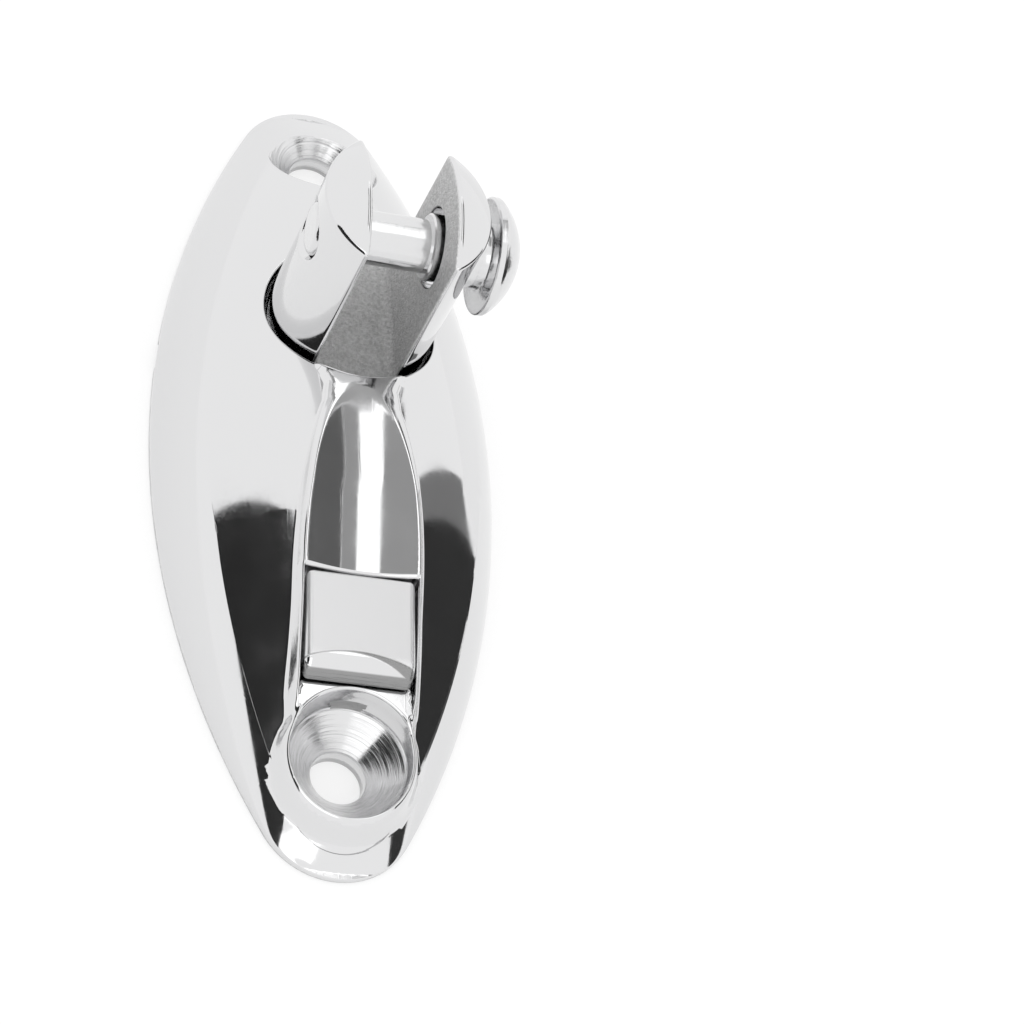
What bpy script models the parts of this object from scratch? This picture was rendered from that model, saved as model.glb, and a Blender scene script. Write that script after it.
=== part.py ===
"""Swivel deck hinge: a boat fitting with a fork that turns in a quick-release base.

The base casting is screwed to a deck.  Its round socket holds an upright fork that turns
about Z and carries a clevis pin.  Below the socket the fork has a grooved stem.  A sprung
latch plate under the casting reaches into that groove, and the square button on the spine
slides the plate out of it, so that the fork lifts off.

+X is across the base, +Y along it towards the fork, +Z up.  The origin is the middle of
the flat underside.  All numbers below are millimetres; SCALE turns them into metres.
"""
import math

import bmesh
import bpy
from mathutils import Matrix, Vector

SCALE = 0.001
GAP = 0.3

# Base casting, outline
BASE_HALF_LENGTH = 54.6
BASE_HALF_WIDTH = 21.25
BASE_END_RADIUS = 9.6
EDGE_HEIGHT = 1.1

# Base casting, domed top
CROWN_HEIGHT = 17.0
CROWN_REACH = 53.8
CROWN_POWER = 2.16
SIDE_POWER = 2.4
SIDE_ROUNDING = 0.75

# Flat flanks of the foot half, between a crease inside the outline and the spine
CREASE_INSET_FOOT = 2.5
CREASE_INSET_HEAD = 4.3
CREASE_FOOT_Y = -52.0
CREASE_HEAD_Y = -15.0
FLANK_SLOPE = 0.61
FLANK_FADE_START_Y = 8.0
FLANK_FADE_END_Y = -24.0
FLANK_CAP = 0.8
FLANK_CAP_END_Y = -33.0

# Spine from the socket to the foot, as (y, height of its crest)
SPINE_CREST = ((22.0, 16.0), (4.0, 17.4), (1.4, 17.5), (-11.4, 16.9), (-22.1, 14.7),
               (-27.6, 13.4), (-35.6, 11.2), (-38.6, 9.0), (-46.0, 0.0), (-54.0, -8.0))
SPINE_START_Y = 6.0
SPINE_FULL_Y = 3.0
SPINE_SIDE_SLOPE = 4.5
SPINE_BLEND = 1.4
NECK_HALF_WIDTH = 3.3
NECK_FLARE = 0.35
NECK_TAPER = 0.08
NECK_LEAST = 1.2
GROOVE_START_Y = 1.4
GROOVE_HALF_WIDTH = 7.0
GROOVE_ARCH = 24.0
GROOVE_DEPTH = 1.15

# Deck screw holes
HEAD_SCREW_Y = 43.3
FOOT_SCREW_Y = -42.5
SCREW_HOLE_RADIUS = 3.3
SCREW_LAND = 2.2
SEAT_RADIUS = 7.0
MOUTH_RADIUS = 7.4
BOSS_RADIUS = 7.9
BOSS_HEIGHT = 8.3
BOSS_SLOPE = 0.22
BOSS_SIDE_SLOPE = 2.8
BOSS_BLEND = 2.5

# Fork and its socket
FORK_Y = 13.6
FORK_RADIUS = 10.0
BALL_Z = 15.2
BALL_FLAT_Z = 8.5
EAR_TOP_Z = 40.2
EAR_DOME_RADIUS = 16.0
SLOT_HALF_WIDTH = 4.94
SLOT_FLOOR_Z = 14.2
SOCKET_RADIUS = 10.6
SOCKET_FLOOR_Z = 8.2
STEM_RADIUS = 4.0
STEM_NECK_RADIUS = 2.8
STEM_NECK_TOP_Z = 5.75
STEM_NECK_BOTTOM_Z = 3.05
STEM_END_Z = 1.9

# Clevis pin, along X through both ears
PIN_Z = 29.6
PIN_RADIUS = 3.15
PIN_TIP_X = -9.7
PIN_SHOULDER_RADIUS = 3.95
PIN_SHOULDER_X = 4.2
PIN_HEAD_X = 11.2
PIN_HEAD_RADIUS = 7.0
PIN_HEAD_RIM = 0.9
PIN_HEAD_HEIGHT = 4.2
LEFT_HOLE_RADIUS = PIN_RADIUS + GAP
LEFT_MOUTH_RADIUS = 4.0
RIGHT_HOLE_RADIUS = 4.8

# Latch button on the spine
BUTTON_HALF_WIDTH = 6.4
BUTTON_HEAD_Y = -22.5
BUTTON_FOOT_Y = -35.0
BUTTON_HEAD_Z = 14.1
BUTTON_SLOPE = 0.135
BUTTON_UNDER_Z = 10.6
POCKET_CLEARANCE = 0.35
POCKET_FLOOR_Z = 9.8
POCKET_FOOT_Y = -44.0
POST_HALF_WIDTH = 3.0
POST_HEAD_Y = -26.0
POST_FOOT_Y = -30.0

# Latch plate, its channel and its spring
LATCH_TRAVEL = 4.0
LATCH_BOTTOM_Z = 3.4
LATCH_TOP_Z = 5.4
LATCH_HALF_WIDTH = 5.6
LATCH_TAIL_Y = -31.0
NOTCH_RADIUS = STEM_NECK_RADIUS + GAP
CHANNEL_ROOF_Z = 5.7
WINDOW_HALF_WIDTH = 2.6
WINDOW_FOOT_Y = -19.0
WINDOW_HEAD_Y = -3.0
LUG_FOOT_Y = -18.5
LUG_HEAD_Y = -16.5
LUG_HALF_WIDTH = 2.2
SPRING_WIRE_RADIUS = 0.3
SPRING_MEAN_RADIUS = 1.9
SPRING_TURNS = 8
SPRING_Z = 4.4

# Cover plate on the underside, and the small screws
COVER_HALF_WIDTH = 10.5
COVER_FOOT_Y = -35.4
COVER_HEAD_Y = 21.4
COVER_BOTTOM_Z = 0.2
COVER_TOP_Z = 1.4
COVER_CORNER = 3.0
COVER_SCREWS = ((-8.3, -30.5), (8.3, -30.5), (-8.3, 3.0), (8.3, 3.0))
SCREW_THREAD_RADIUS = 1.2
SCREW_HEAD_RADIUS = 2.3
SCREW_HEAD_DEPTH = 1.0
COVER_SCREW_TOP_Z = 5.4
PLATE_SCREW_TOP_Z = 9.4

# Facets round a turned piece
ROUND_STEPS = 36
SMALL_STEPS = 16


def make_collection(name):
    """A new collection in the scene."""
    collection = bpy.data.collections.new(name)
    bpy.context.scene.collection.children.link(collection)
    return collection


def make_material(name, colour, roughness, metallic):
    """A Principled material with a plain colour."""
    material = bpy.data.materials.new(name)
    material.use_nodes = True
    shader = material.node_tree.nodes["Principled BSDF"]
    shader.inputs["Base Color"].default_value = (*colour, 1.0)
    shader.inputs["Roughness"].default_value = roughness
    shader.inputs["Metallic"].default_value = metallic
    return material


def place(obj, collection, material=None):
    """Put an object in one collection and give it its material."""
    for owner in list(obj.users_collection):
        owner.objects.unlink(obj)
    collection.objects.link(obj)
    if material is not None:
        obj.data.materials.clear()
        obj.data.materials.append(material)
    return obj


def hide_cutter(obj):
    """Mark an object as a cutter that is not part of the model."""
    obj.hide_render = True
    obj.display_type = "WIRE"
    return obj


def object_from_bmesh(name, mesh_data, origin=(0.0, 0.0, 0.0)):
    """A mesh object whose vertices are given in world millimetres, with its own origin."""
    bmesh.ops.translate(mesh_data, verts=mesh_data.verts, vec=-Vector(origin))
    bmesh.ops.scale(mesh_data, verts=mesh_data.verts, vec=(SCALE, SCALE, SCALE))
    mesh = bpy.data.meshes.new(name)
    mesh_data.to_mesh(mesh)
    mesh_data.free()
    obj = bpy.data.objects.new(name, mesh)
    obj.location = Vector(origin) * SCALE
    bpy.context.scene.collection.objects.link(obj)
    return obj


def block(name, low, high):
    """A box between two corners."""
    low = Vector(low)
    high = Vector(high)
    box = bmesh.new()
    bmesh.ops.create_cube(box, size=1.0)
    bmesh.ops.scale(box, verts=box.verts, vec=high - low)
    bmesh.ops.translate(box, verts=box.verts, vec=(low + high) / 2)
    return object_from_bmesh(name, box)


def turned(name, profile, origin, along_x=False, steps=ROUND_STEPS):
    """A solid turned about Z (or X) through its origin; the profile is (radius, height)."""
    line = bmesh.new()
    points = [line.verts.new((radius * SCALE, 0.0, height * SCALE)) for radius, height in profile]
    for first, second in zip(points, points[1:]):
        line.edges.new((first, second))
    mesh = bpy.data.meshes.new(name)
    line.to_mesh(mesh)
    line.free()
    obj = bpy.data.objects.new(name, mesh)
    obj.location = Vector(origin) * SCALE
    if along_x:
        obj.rotation_euler = (0.0, math.pi / 2, 0.0)
    bpy.context.scene.collection.objects.link(obj)
    screw = obj.modifiers.new("Turn", "SCREW")
    screw.angle = math.tau
    screw.steps = steps
    screw.render_steps = steps
    screw.use_merge_vertices = True
    screw.merge_threshold = 0.00001
    screw.use_smooth_shade = True
    return obj


def flat_outline(name, points, bottom, top):
    """A flat plate from its outline, as a mesh."""
    curve = bpy.data.curves.new(name, "CURVE")
    curve.dimensions = "2D"
    curve.fill_mode = "BOTH"
    curve.extrude = (top - bottom) / 2 * SCALE
    spline = curve.splines.new("POLY")
    spline.points.add(len(points) - 1)
    for spot, (x, y) in zip(spline.points, points):
        spot.co = (x * SCALE, y * SCALE, 0.0, 1.0)
    spline.use_cyclic_u = True
    drawn = bpy.data.objects.new(name + "_outline", curve)
    drawn.location = (0.0, 0.0, (top + bottom) / 2 * SCALE)
    bpy.context.scene.collection.objects.link(drawn)
    return mesh_from_curve(name, drawn)


def mesh_from_curve(name, drawn):
    """Turn a curve object into a closed mesh object in the same place."""
    bpy.context.view_layer.update()
    graph = bpy.context.evaluated_depsgraph_get()
    mesh = bpy.data.meshes.new_from_object(drawn.evaluated_get(graph))
    welded = bmesh.new()
    welded.from_mesh(mesh)
    bmesh.ops.remove_doubles(welded, verts=welded.verts, dist=0.00001)
    welded.to_mesh(mesh)
    welded.free()
    obj = bpy.data.objects.new(name, mesh)
    obj.matrix_world = drawn.matrix_world.copy()
    bpy.context.scene.collection.objects.link(obj)
    bpy.data.objects.remove(drawn)
    return obj


def combine(target, other, operation, cutters):
    """Add a Boolean with another object, which becomes a hidden helper."""
    place(hide_cutter(other), cutters)
    boolean = target.modifiers.new(other.name, "BOOLEAN")
    boolean.operation = operation
    boolean.solver = "EXACT"
    boolean.object = other


def arc(centre, radius, start, end, steps):
    """Points along an arc; the angles are in degrees."""
    points = []
    for step in range(steps + 1):
        angle = math.radians(start + (end - start) * step / steps)
        points.append((centre[0] + radius * math.cos(angle), centre[1] + radius * math.sin(angle)))
    return points


def between(table, y):
    """A height read from a list of (y, height), which runs from high y to low y."""
    if y >= table[0][0]:
        return table[0][1]
    for (y_high, first), (y_low, second) in zip(table, table[1:]):
        if y >= y_low:
            share = (y_high - y) / (y_high - y_low)
            return first + (second - first) * share
    return table[-1][1]


def smooth_max(first, second, blend):
    """The higher of two heights, with a concave fillet where they meet."""
    share = max(blend - abs(first - second), 0.0) / blend
    return max(first, second) + share * share * blend / 4


def side_arc_radius():
    """Radius of the long side arcs, which run tangent into the end arcs."""
    reach = BASE_HALF_LENGTH - BASE_END_RADIUS
    top = BASE_HALF_WIDTH ** 2 + reach ** 2 - BASE_END_RADIUS ** 2
    return top / (2 * (BASE_HALF_WIDTH - BASE_END_RADIUS))


def half_width(y):
    """Half the width of the base's outline at a station along its length."""
    side = side_arc_radius()
    reach = BASE_HALF_LENGTH - BASE_END_RADIUS
    tangent_y = side * reach / math.hypot(reach, side - BASE_HALF_WIDTH)
    if abs(y) <= tangent_y:
        return math.sqrt(side * side - y * y) - (side - BASE_HALF_WIDTH)
    inside = BASE_END_RADIUS ** 2 - (abs(y) - reach) ** 2
    return math.sqrt(max(inside, 0.0))


def outline_inset(x, y):
    """Distance inside the casting's outline."""
    side = side_arc_radius()
    reach = BASE_HALF_LENGTH - BASE_END_RADIUS
    across = abs(x) + side - BASE_HALF_WIDTH
    if abs(y) * (side - BASE_HALF_WIDTH) < across * reach:
        return side - math.hypot(across, y)
    return BASE_END_RADIUS - math.hypot(x, abs(y) - reach)


def dome_height(x, y):
    """The domed top of the casting."""
    crown = CROWN_HEIGHT - EDGE_HEIGHT
    rise = crown * max(1 - (abs(y) / CROWN_REACH) ** CROWN_POWER, 0.0)
    width = max(half_width(y), 0.01)
    side = max(1 - min(abs(x) / width, 1.0) ** SIDE_POWER, 0.0) ** SIDE_ROUNDING
    return EDGE_HEIGHT + rise * side


def crease_inset(y):
    """How far inside the outline the crease runs."""
    share = (y - CREASE_FOOT_Y) / (CREASE_HEAD_Y - CREASE_FOOT_Y)
    share = min(max(share, 0.0), 1.0)
    return CREASE_INSET_FOOT + (CREASE_INSET_HEAD - CREASE_INSET_FOOT) * share


def flank_height(x, y):
    """The dome with the flat flanks of its foot half, which end at the crease."""
    dome = dome_height(x, y)
    inset = crease_inset(y)
    inward = outline_inset(x, y) - inset
    if inward <= 0 or y >= FLANK_FADE_START_Y:
        return dome
    crease_x = max(half_width(y) - inset, 0.0)
    crease_z = dome_height(crease_x, max(y, inset - BASE_HALF_LENGTH))
    cap = between(SPINE_CREST, max(y, FLANK_CAP_END_Y)) - FLANK_CAP
    flat = -smooth_max(-crease_z - FLANK_SLOPE * inward, -cap, 1.0)
    fade = (FLANK_FADE_START_Y - y) / (FLANK_FADE_START_Y - FLANK_FADE_END_Y)
    return dome + smooth_step(fade) * (flat - dome)


def smooth_step(share):
    """A share from 0 to 1 with soft ends."""
    share = min(max(share, 0.0), 1.0)
    return share * share * (3 - 2 * share)


def spine_half_width(y):
    """Half the width of the spine's flat crest, which flares into the socket's rim."""
    rest = min(max(1 - (GROOVE_START_Y - y) / GROOVE_ARCH, 0.0), 1.0)
    groove = GROOVE_HALF_WIDTH * math.sqrt(1 - rest * rest)
    neck = NECK_HALF_WIDTH + NECK_FLARE * max(y + 1.0, 0.0) + NECK_TAPER * min(y, 0.0)
    return math.hypot(groove, max(neck, NECK_LEAST))


def spine_height(x, y):
    """The spine with its thumb groove."""
    outside = max(abs(x) - spine_half_width(y), 0.0)
    rest = max(1 - (GROOVE_START_Y - y) / GROOVE_ARCH, 0.0)
    inside = max(1 - (x / GROOVE_HALF_WIDTH) ** 2 - rest * rest, 0.0)
    return between(SPINE_CREST, y) - SPINE_SIDE_SLOPE * outside - GROOVE_DEPTH * inside


def boss_height(x, y):
    """The sloping boss round the foot's screw hole."""
    outside = max(math.hypot(x, y - FOOT_SCREW_Y) - BOSS_RADIUS, 0.0)
    return BOSS_HEIGHT + BOSS_SLOPE * (y - FOOT_SCREW_Y) - BOSS_SIDE_SLOPE * outside


def top_height(x, y):
    """Height of the casting's top face, before anything is cut out of it."""
    flank = flank_height(x, y)
    if y >= SPINE_START_Y:
        return flank
    share = smooth_step((SPINE_START_Y - y) / (SPINE_START_Y - SPINE_FULL_Y))
    ridge = max(spine_half_width(y) - abs(x), 0.0) * min(max((y + 42.0) / 6.0, 0.0), 1.0)
    height = smooth_max(flank - 2.5 * ridge * share, spine_height(x, y), SPINE_BLEND)
    height = smooth_max(height, boss_height(x, y), BOSS_BLEND)
    return flank + (height - flank) * share


def section_columns(y):
    """Places across one half of a section: close together along the spine, one on the crease."""
    width = half_width(y)
    crease_x = max(width - crease_inset(y), 0.6 * width)
    crest = spine_half_width(min(y, 2.6))
    inner = [0.0, 0.35 * crest, 0.7 * crest, crest - 0.3, crest + 0.1, crest + 0.6, crest + 1.4,
             crest + 3.0]
    shares = [0.0, 0.2, 0.4, 0.55, 0.68, 0.78, 0.87, 0.94]
    half = [min(place_x, crease_x * share) for place_x, share in zip(inner, shares)]
    half += [half[-1] + (crease_x - half[-1]) * share for share in (0.5, 1.0)]
    return half + [crease_x + (width - crease_x) * share for share in (0.35, 0.65, 0.88, 1.0)]


def station_list():
    """Stations along the base: even on the long sides, by angle round the ends."""
    reach = BASE_HALF_LENGTH - BASE_END_RADIUS
    head = [reach + BASE_END_RADIUS * math.sin(math.radians(angle)) for angle in (32, 48, 62, 74, 83)]
    middle = [-48.0 + 3.0 * step for step in range(33)]
    return [-y for y in reversed(head)] + middle + head


def base_body():
    """Loft of the casting's outside through unlike sections along its length."""
    body = bmesh.new()
    rows = []
    for y in station_list():
        half = section_columns(y)
        across = [-x for x in reversed(half[1:])] + half
        top = [body.verts.new((x, y, top_height(x, y) if abs(x) < half[-1] else EDGE_HEIGHT))
               for x in across]
        bottom = [body.verts.new((x, y, 0.0)) for x in (across[0], across[-1])]
        rows.append((top, bottom))
    for (top_a, low_a), (top_b, low_b) in zip(rows, rows[1:]):
        for index in range(len(top_a) - 1):
            body.faces.new((top_a[index], top_a[index + 1], top_b[index + 1], top_b[index]))
        body.faces.new((top_a[-1], low_a[1], low_b[1], top_b[-1]))
        body.faces.new((low_a[0], top_a[0], top_b[0], low_b[0]))
        body.faces.new((low_a[1], low_a[0], low_b[0], low_b[1]))
    for (top, bottom), turn_round in ((rows[0], False), (rows[-1], True)):
        loop = [bottom[0], bottom[1]] + list(reversed(top))
        body.faces.new(list(reversed(loop)) if turn_round else loop)
    twisted = [face for face in body.faces if len(face.verts) == 4]
    bmesh.ops.triangulate(body, faces=twisted)
    bmesh.ops.recalc_face_normals(body, faces=body.faces)
    return object_from_bmesh("base_casting", body)


def socket_cutter():
    """The bowl, its flat floor and the hole for the stem."""
    profile = [(0.0, 30.0), (SOCKET_RADIUS, 30.0), (SOCKET_RADIUS, BALL_Z)]
    drop = math.degrees(math.asin((BALL_Z - SOCKET_FLOOR_Z) / SOCKET_RADIUS))
    profile += arc((0.0, BALL_Z), SOCKET_RADIUS, 0, -drop, 7)[1:]
    profile += [(STEM_RADIUS + GAP, SOCKET_FLOOR_Z), (STEM_RADIUS + GAP, CHANNEL_ROOF_Z - 1.0)]
    profile += [(0.0, CHANNEL_ROOF_Z - 1.0)]
    return turned("socket_cutter", profile, (0.0, FORK_Y, 0.0))


def screw_hole_cutter(name, y):
    """A countersunk hole with a deep round mouth."""
    seat_z = SCREW_LAND + SEAT_RADIUS - SCREW_HOLE_RADIUS
    profile = [(0.0, 25.0), (MOUTH_RADIUS, 25.0), (MOUTH_RADIUS, seat_z + 3.0)]
    profile += [(SEAT_RADIUS, seat_z), (SCREW_HOLE_RADIUS, SCREW_LAND)]
    profile += [(SCREW_HOLE_RADIUS, -1.0), (0.0, -1.0)]
    return turned(name, profile, (0.0, y, 0.0))


def channel_outline(half, tail_y):
    """Plan of the latch channel: straight sides and a round end at the stem."""
    head = arc((0.0, FORK_Y), half, 0, 180, 16)
    return [(half, tail_y)] + head + [(-half, tail_y)]


def rounded_rectangle(half, foot_y, head_y, corner):
    """Plan of a plate with round corners."""
    points = arc((half - corner, foot_y + corner), corner, -90, 0, 6)
    points += arc((half - corner, head_y - corner), corner, 0, 90, 6)
    points += arc((corner - half, head_y - corner), corner, 90, 180, 6)
    points += arc((corner - half, foot_y + corner), corner, 180, 270, 6)
    return points


def make_base_casting(parts, cutters, steel):
    """The casting: dome, spine, socket, screw holes, button pocket and latch channel."""
    casting = place(base_body(), parts, steel)
    pocket = BUTTON_HALF_WIDTH + POCKET_CLEARANCE
    pocket_head = BUTTON_HEAD_Y + POCKET_CLEARANCE
    post_slot = POST_HALF_WIDTH + GAP
    channel = LATCH_HALF_WIDTH + GAP
    channel_tail = LATCH_TAIL_Y - LATCH_TRAVEL - GAP
    recess = rounded_rectangle(COVER_HALF_WIDTH + GAP, COVER_FOOT_Y - GAP,
                               COVER_HEAD_Y + GAP, COVER_CORNER)
    spring_room = WINDOW_HALF_WIDTH + GAP
    cuts = [
        socket_cutter(),
        screw_hole_cutter("head_screw_cutter", HEAD_SCREW_Y),
        screw_hole_cutter("foot_screw_cutter", FOOT_SCREW_Y),
        block("button_pocket_cutter", (-pocket, POCKET_FOOT_Y, POCKET_FLOOR_Z),
              (pocket, pocket_head, 25.0)),
        block("post_slot_cutter", (-post_slot, POST_FOOT_Y - LATCH_TRAVEL - GAP, 5.0),
              (post_slot, POST_HEAD_Y + GAP, POCKET_FLOOR_Z + 1.0)),
        flat_outline("cover_recess_cutter", recess, -1.0, COVER_TOP_Z + GAP),
        flat_outline("channel_cutter", channel_outline(channel, channel_tail),
                     COVER_TOP_Z, CHANNEL_ROOF_Z),
        block("spring_room_cutter", (-spring_room, WINDOW_FOOT_Y - 1.0, 5.0),
              (spring_room, WINDOW_HEAD_Y + 1.0, SPRING_Z + 2.6)),
    ]
    for number, (x, y) in enumerate(COVER_SCREWS):
        cuts.append(turned(f"cover_thread_cutter_{number}",
                           [(0.0, COVER_SCREW_TOP_Z + GAP),
                            (SCREW_THREAD_RADIUS + GAP, COVER_SCREW_TOP_Z + GAP),
                            (SCREW_THREAD_RADIUS + GAP, COVER_TOP_Z - 0.2),
                            (0.0, COVER_TOP_Z - 0.2)], (x, y, 0.0), steps=SMALL_STEPS))
    for side in (-1, 1):
        wall_x = side * BASE_HALF_WIDTH
        cuts.append(block(f"drain_cutter_{'left' if side < 0 else 'right'}",
                          (wall_x - 1.6, FORK_Y - 2.0, -1.0), (wall_x + 1.6, FORK_Y + 2.0, 1.0)))
    for cutter in cuts:
        combine(casting, cutter, "DIFFERENCE", cutters)
    lug = block("spring_lug", (-LUG_HALF_WIDTH, LUG_FOOT_Y, COVER_TOP_Z + GAP + 0.3),
                (LUG_HALF_WIDTH, LUG_HEAD_Y, SPRING_Z + 3.4))
    combine(casting, lug, "UNION", cutters)
    return casting


def make_swivel_fork(parts, cutters, steel):
    """The fork: two ears, a ball-shaped bottom and the grooved stem under it."""
    dome_z = EAR_TOP_Z - EAR_DOME_RADIUS
    edge = math.degrees(math.acos(FORK_RADIUS / EAR_DOME_RADIUS))
    drop = math.degrees(math.asin((BALL_Z - BALL_FLAT_Z) / FORK_RADIUS))
    profile = [(0.0, EAR_TOP_Z)]
    profile += arc((0.0, dome_z), EAR_DOME_RADIUS, 90, edge, 6)[1:]
    profile += arc((0.0, BALL_Z), FORK_RADIUS, 0, -drop, 7)
    profile += [(STEM_RADIUS, BALL_FLAT_Z), (STEM_RADIUS, STEM_NECK_TOP_Z)]
    profile += [(STEM_NECK_RADIUS, STEM_NECK_TOP_Z), (STEM_NECK_RADIUS, STEM_NECK_BOTTOM_Z)]
    profile += [(STEM_RADIUS, STEM_NECK_BOTTOM_Z), (STEM_RADIUS, STEM_END_Z + 0.5)]
    profile += [(STEM_RADIUS - 0.5, STEM_END_Z), (0.0, STEM_END_Z)]
    fork = place(turned("swivel_fork", profile, (0.0, FORK_Y, 0.0)), parts, steel)
    reach = FORK_RADIUS + 2.0
    slot = block("fork_slot_cutter", (-SLOT_HALF_WIDTH, FORK_Y - reach, SLOT_FLOOR_Z),
                 (SLOT_HALF_WIDTH, FORK_Y + reach, EAR_TOP_Z + 2.0))
    soften = slot.modifiers.new("Floor fillets", "BEVEL")
    soften.width = 1.2 * SCALE
    soften.segments = 3
    left_hole = [(0.0, 0.0), (LEFT_HOLE_RADIUS, 0.0), (LEFT_HOLE_RADIUS, -9.0)]
    left_hole += [(LEFT_MOUTH_RADIUS, -10.0), (LEFT_MOUTH_RADIUS, -14.0), (0.0, -14.0)]
    right_hole = [(0.0, 14.0), (RIGHT_HOLE_RADIUS, 14.0), (RIGHT_HOLE_RADIUS, 0.0), (0.0, 0.0)]
    pin_centre = (0.0, FORK_Y, PIN_Z)
    combine(fork, slot, "DIFFERENCE", cutters)
    combine(fork, turned("left_hole_cutter", left_hole, pin_centre, True), "DIFFERENCE", cutters)
    combine(fork, turned("right_hole_cutter", right_hole, pin_centre, True), "DIFFERENCE", cutters)
    return fork


def make_clevis_pin(parts, steel):
    """The pin: threaded tip in the left ear, shoulder in the right ear, domed head."""
    rim_x = PIN_HEAD_X + PIN_HEAD_RIM
    rise = PIN_HEAD_HEIGHT - PIN_HEAD_RIM
    dome = (PIN_HEAD_RADIUS ** 2 + rise ** 2) / (2 * rise)
    start = math.degrees(math.asin((dome - rise) / dome))
    profile = [(0.0, rim_x + rise)]
    profile += arc((0.0, rim_x + rise - dome), dome, 90, start, 7)[1:]
    profile += [(PIN_HEAD_RADIUS, PIN_HEAD_X), (PIN_SHOULDER_RADIUS, PIN_HEAD_X)]
    profile += [(PIN_SHOULDER_RADIUS, PIN_SHOULDER_X), (PIN_RADIUS, PIN_SHOULDER_X)]
    profile += [(PIN_RADIUS, PIN_TIP_X + 0.7), (PIN_RADIUS - 0.7, PIN_TIP_X), (0.0, PIN_TIP_X)]
    return place(turned("clevis_pin", profile, (0.0, FORK_Y, PIN_Z), True), parts, steel)


def button_outline():
    """Side view of the button as (y, z), with a rounded nose at the foot end."""
    nose_y = BUTTON_FOOT_Y + 3.4
    nose_z = BUTTON_HEAD_Z + BUTTON_SLOPE * (nose_y - BUTTON_HEAD_Y)
    return [(BUTTON_HEAD_Y, BUTTON_UNDER_Z), (BUTTON_HEAD_Y, BUTTON_HEAD_Z), (nose_y, nose_z),
            (nose_y - 1.7, nose_z - 0.4), (nose_y - 2.8, nose_z - 1.0),
            (BUTTON_FOOT_Y, nose_z - 1.8), (BUTTON_FOOT_Y + 0.4, BUTTON_UNDER_Z)]


def make_latch_button(parts, cutters, steel):
    """The square button with the post that goes down through the casting."""
    body = bmesh.new()
    left = [body.verts.new((-BUTTON_HALF_WIDTH, y, z)) for y, z in button_outline()]
    face = body.faces.new(left)
    grown = bmesh.ops.extrude_face_region(body, geom=[face])
    moved = [item for item in grown["geom"] if isinstance(item, bmesh.types.BMVert)]
    bmesh.ops.translate(body, verts=moved, vec=(2 * BUTTON_HALF_WIDTH, 0.0, 0.0))
    bmesh.ops.recalc_face_normals(body, faces=body.faces)
    button = place(object_from_bmesh("latch_button", body, (0.0, BUTTON_HEAD_Y, BUTTON_UNDER_Z)),
                   parts, steel)
    post = block("button_post", (-POST_HALF_WIDTH, POST_FOOT_Y, CHANNEL_ROOF_Z),
                 (POST_HALF_WIDTH, POST_HEAD_Y, BUTTON_UNDER_Z + 1.0))
    combine(button, post, "UNION", cutters)
    centre_y = (POST_HEAD_Y + POST_FOOT_Y) / 2
    thread = turned("button_thread_cutter",
                    [(0.0, PLATE_SCREW_TOP_Z + GAP),
                     (SCREW_THREAD_RADIUS + GAP, PLATE_SCREW_TOP_Z + GAP),
                     (SCREW_THREAD_RADIUS + GAP, CHANNEL_ROOF_Z - 1.0),
                     (0.0, CHANNEL_ROOF_Z - 1.0)], (0.0, centre_y, 0.0), steps=SMALL_STEPS)
    combine(button, thread, "DIFFERENCE", cutters)
    return button


def small_screw(name, x, y, head_z, top_z):
    """A countersunk screw driven upward, with its flat head at head_z."""
    neck_z = head_z + SCREW_HEAD_DEPTH
    profile = [(0.0, top_z), (SCREW_THREAD_RADIUS - 0.3, top_z), (SCREW_THREAD_RADIUS, top_z - 0.4)]
    profile += [(SCREW_THREAD_RADIUS, neck_z), (SCREW_HEAD_RADIUS, head_z), (0.0, head_z)]
    return turned(name, profile, (x, y, 0.0), steps=SMALL_STEPS)


def screw_seat_cutter(name, x, y, head_z, top_z):
    """The hole for a small screw: the screw's own shape and a little clearance."""
    neck_z = head_z + SCREW_HEAD_DEPTH
    hole = SCREW_THREAD_RADIUS + GAP
    profile = [(0.0, top_z), (hole, top_z), (hole, neck_z + 0.1)]
    profile += [(SCREW_HEAD_RADIUS + GAP, head_z + 0.1), (SCREW_HEAD_RADIUS + GAP, head_z - 1.0)]
    profile += [(0.0, head_z - 1.0)]
    return turned(name, profile, (x, y, 0.0), steps=SMALL_STEPS)


def make_latch_plate(parts, cutters, steel):
    """The flat plate whose notch holds the stem, with a window for the spring."""
    notch = arc((0.0, FORK_Y), NOTCH_RADIUS, 0, -180, 12)
    outline = [(LATCH_HALF_WIDTH, LATCH_TAIL_Y), (LATCH_HALF_WIDTH, FORK_Y)] + notch
    outline += [(-LATCH_HALF_WIDTH, FORK_Y), (-LATCH_HALF_WIDTH, LATCH_TAIL_Y)]
    plate = place(flat_outline("latch_plate", outline, LATCH_BOTTOM_Z, LATCH_TOP_Z), parts, steel)
    window = block("spring_window_cutter", (-WINDOW_HALF_WIDTH, WINDOW_FOOT_Y, LATCH_BOTTOM_Z - 1),
                   (WINDOW_HALF_WIDTH, WINDOW_HEAD_Y, LATCH_TOP_Z + 1))
    combine(plate, window, "DIFFERENCE", cutters)
    centre_y = (POST_HEAD_Y + POST_FOOT_Y) / 2
    seat = screw_seat_cutter("plate_screw_cutter", 0.0, centre_y, LATCH_BOTTOM_Z, LATCH_TOP_Z + 1)
    combine(plate, seat, "DIFFERENCE", cutters)
    return plate


def make_plate_screw(parts, steel):
    """The screw that joins the latch plate to the button's post."""
    centre_y = (POST_HEAD_Y + POST_FOOT_Y) / 2
    return place(small_screw("plate_screw", 0.0, centre_y, LATCH_BOTTOM_Z, PLATE_SCREW_TOP_Z),
                 parts, steel)


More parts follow.
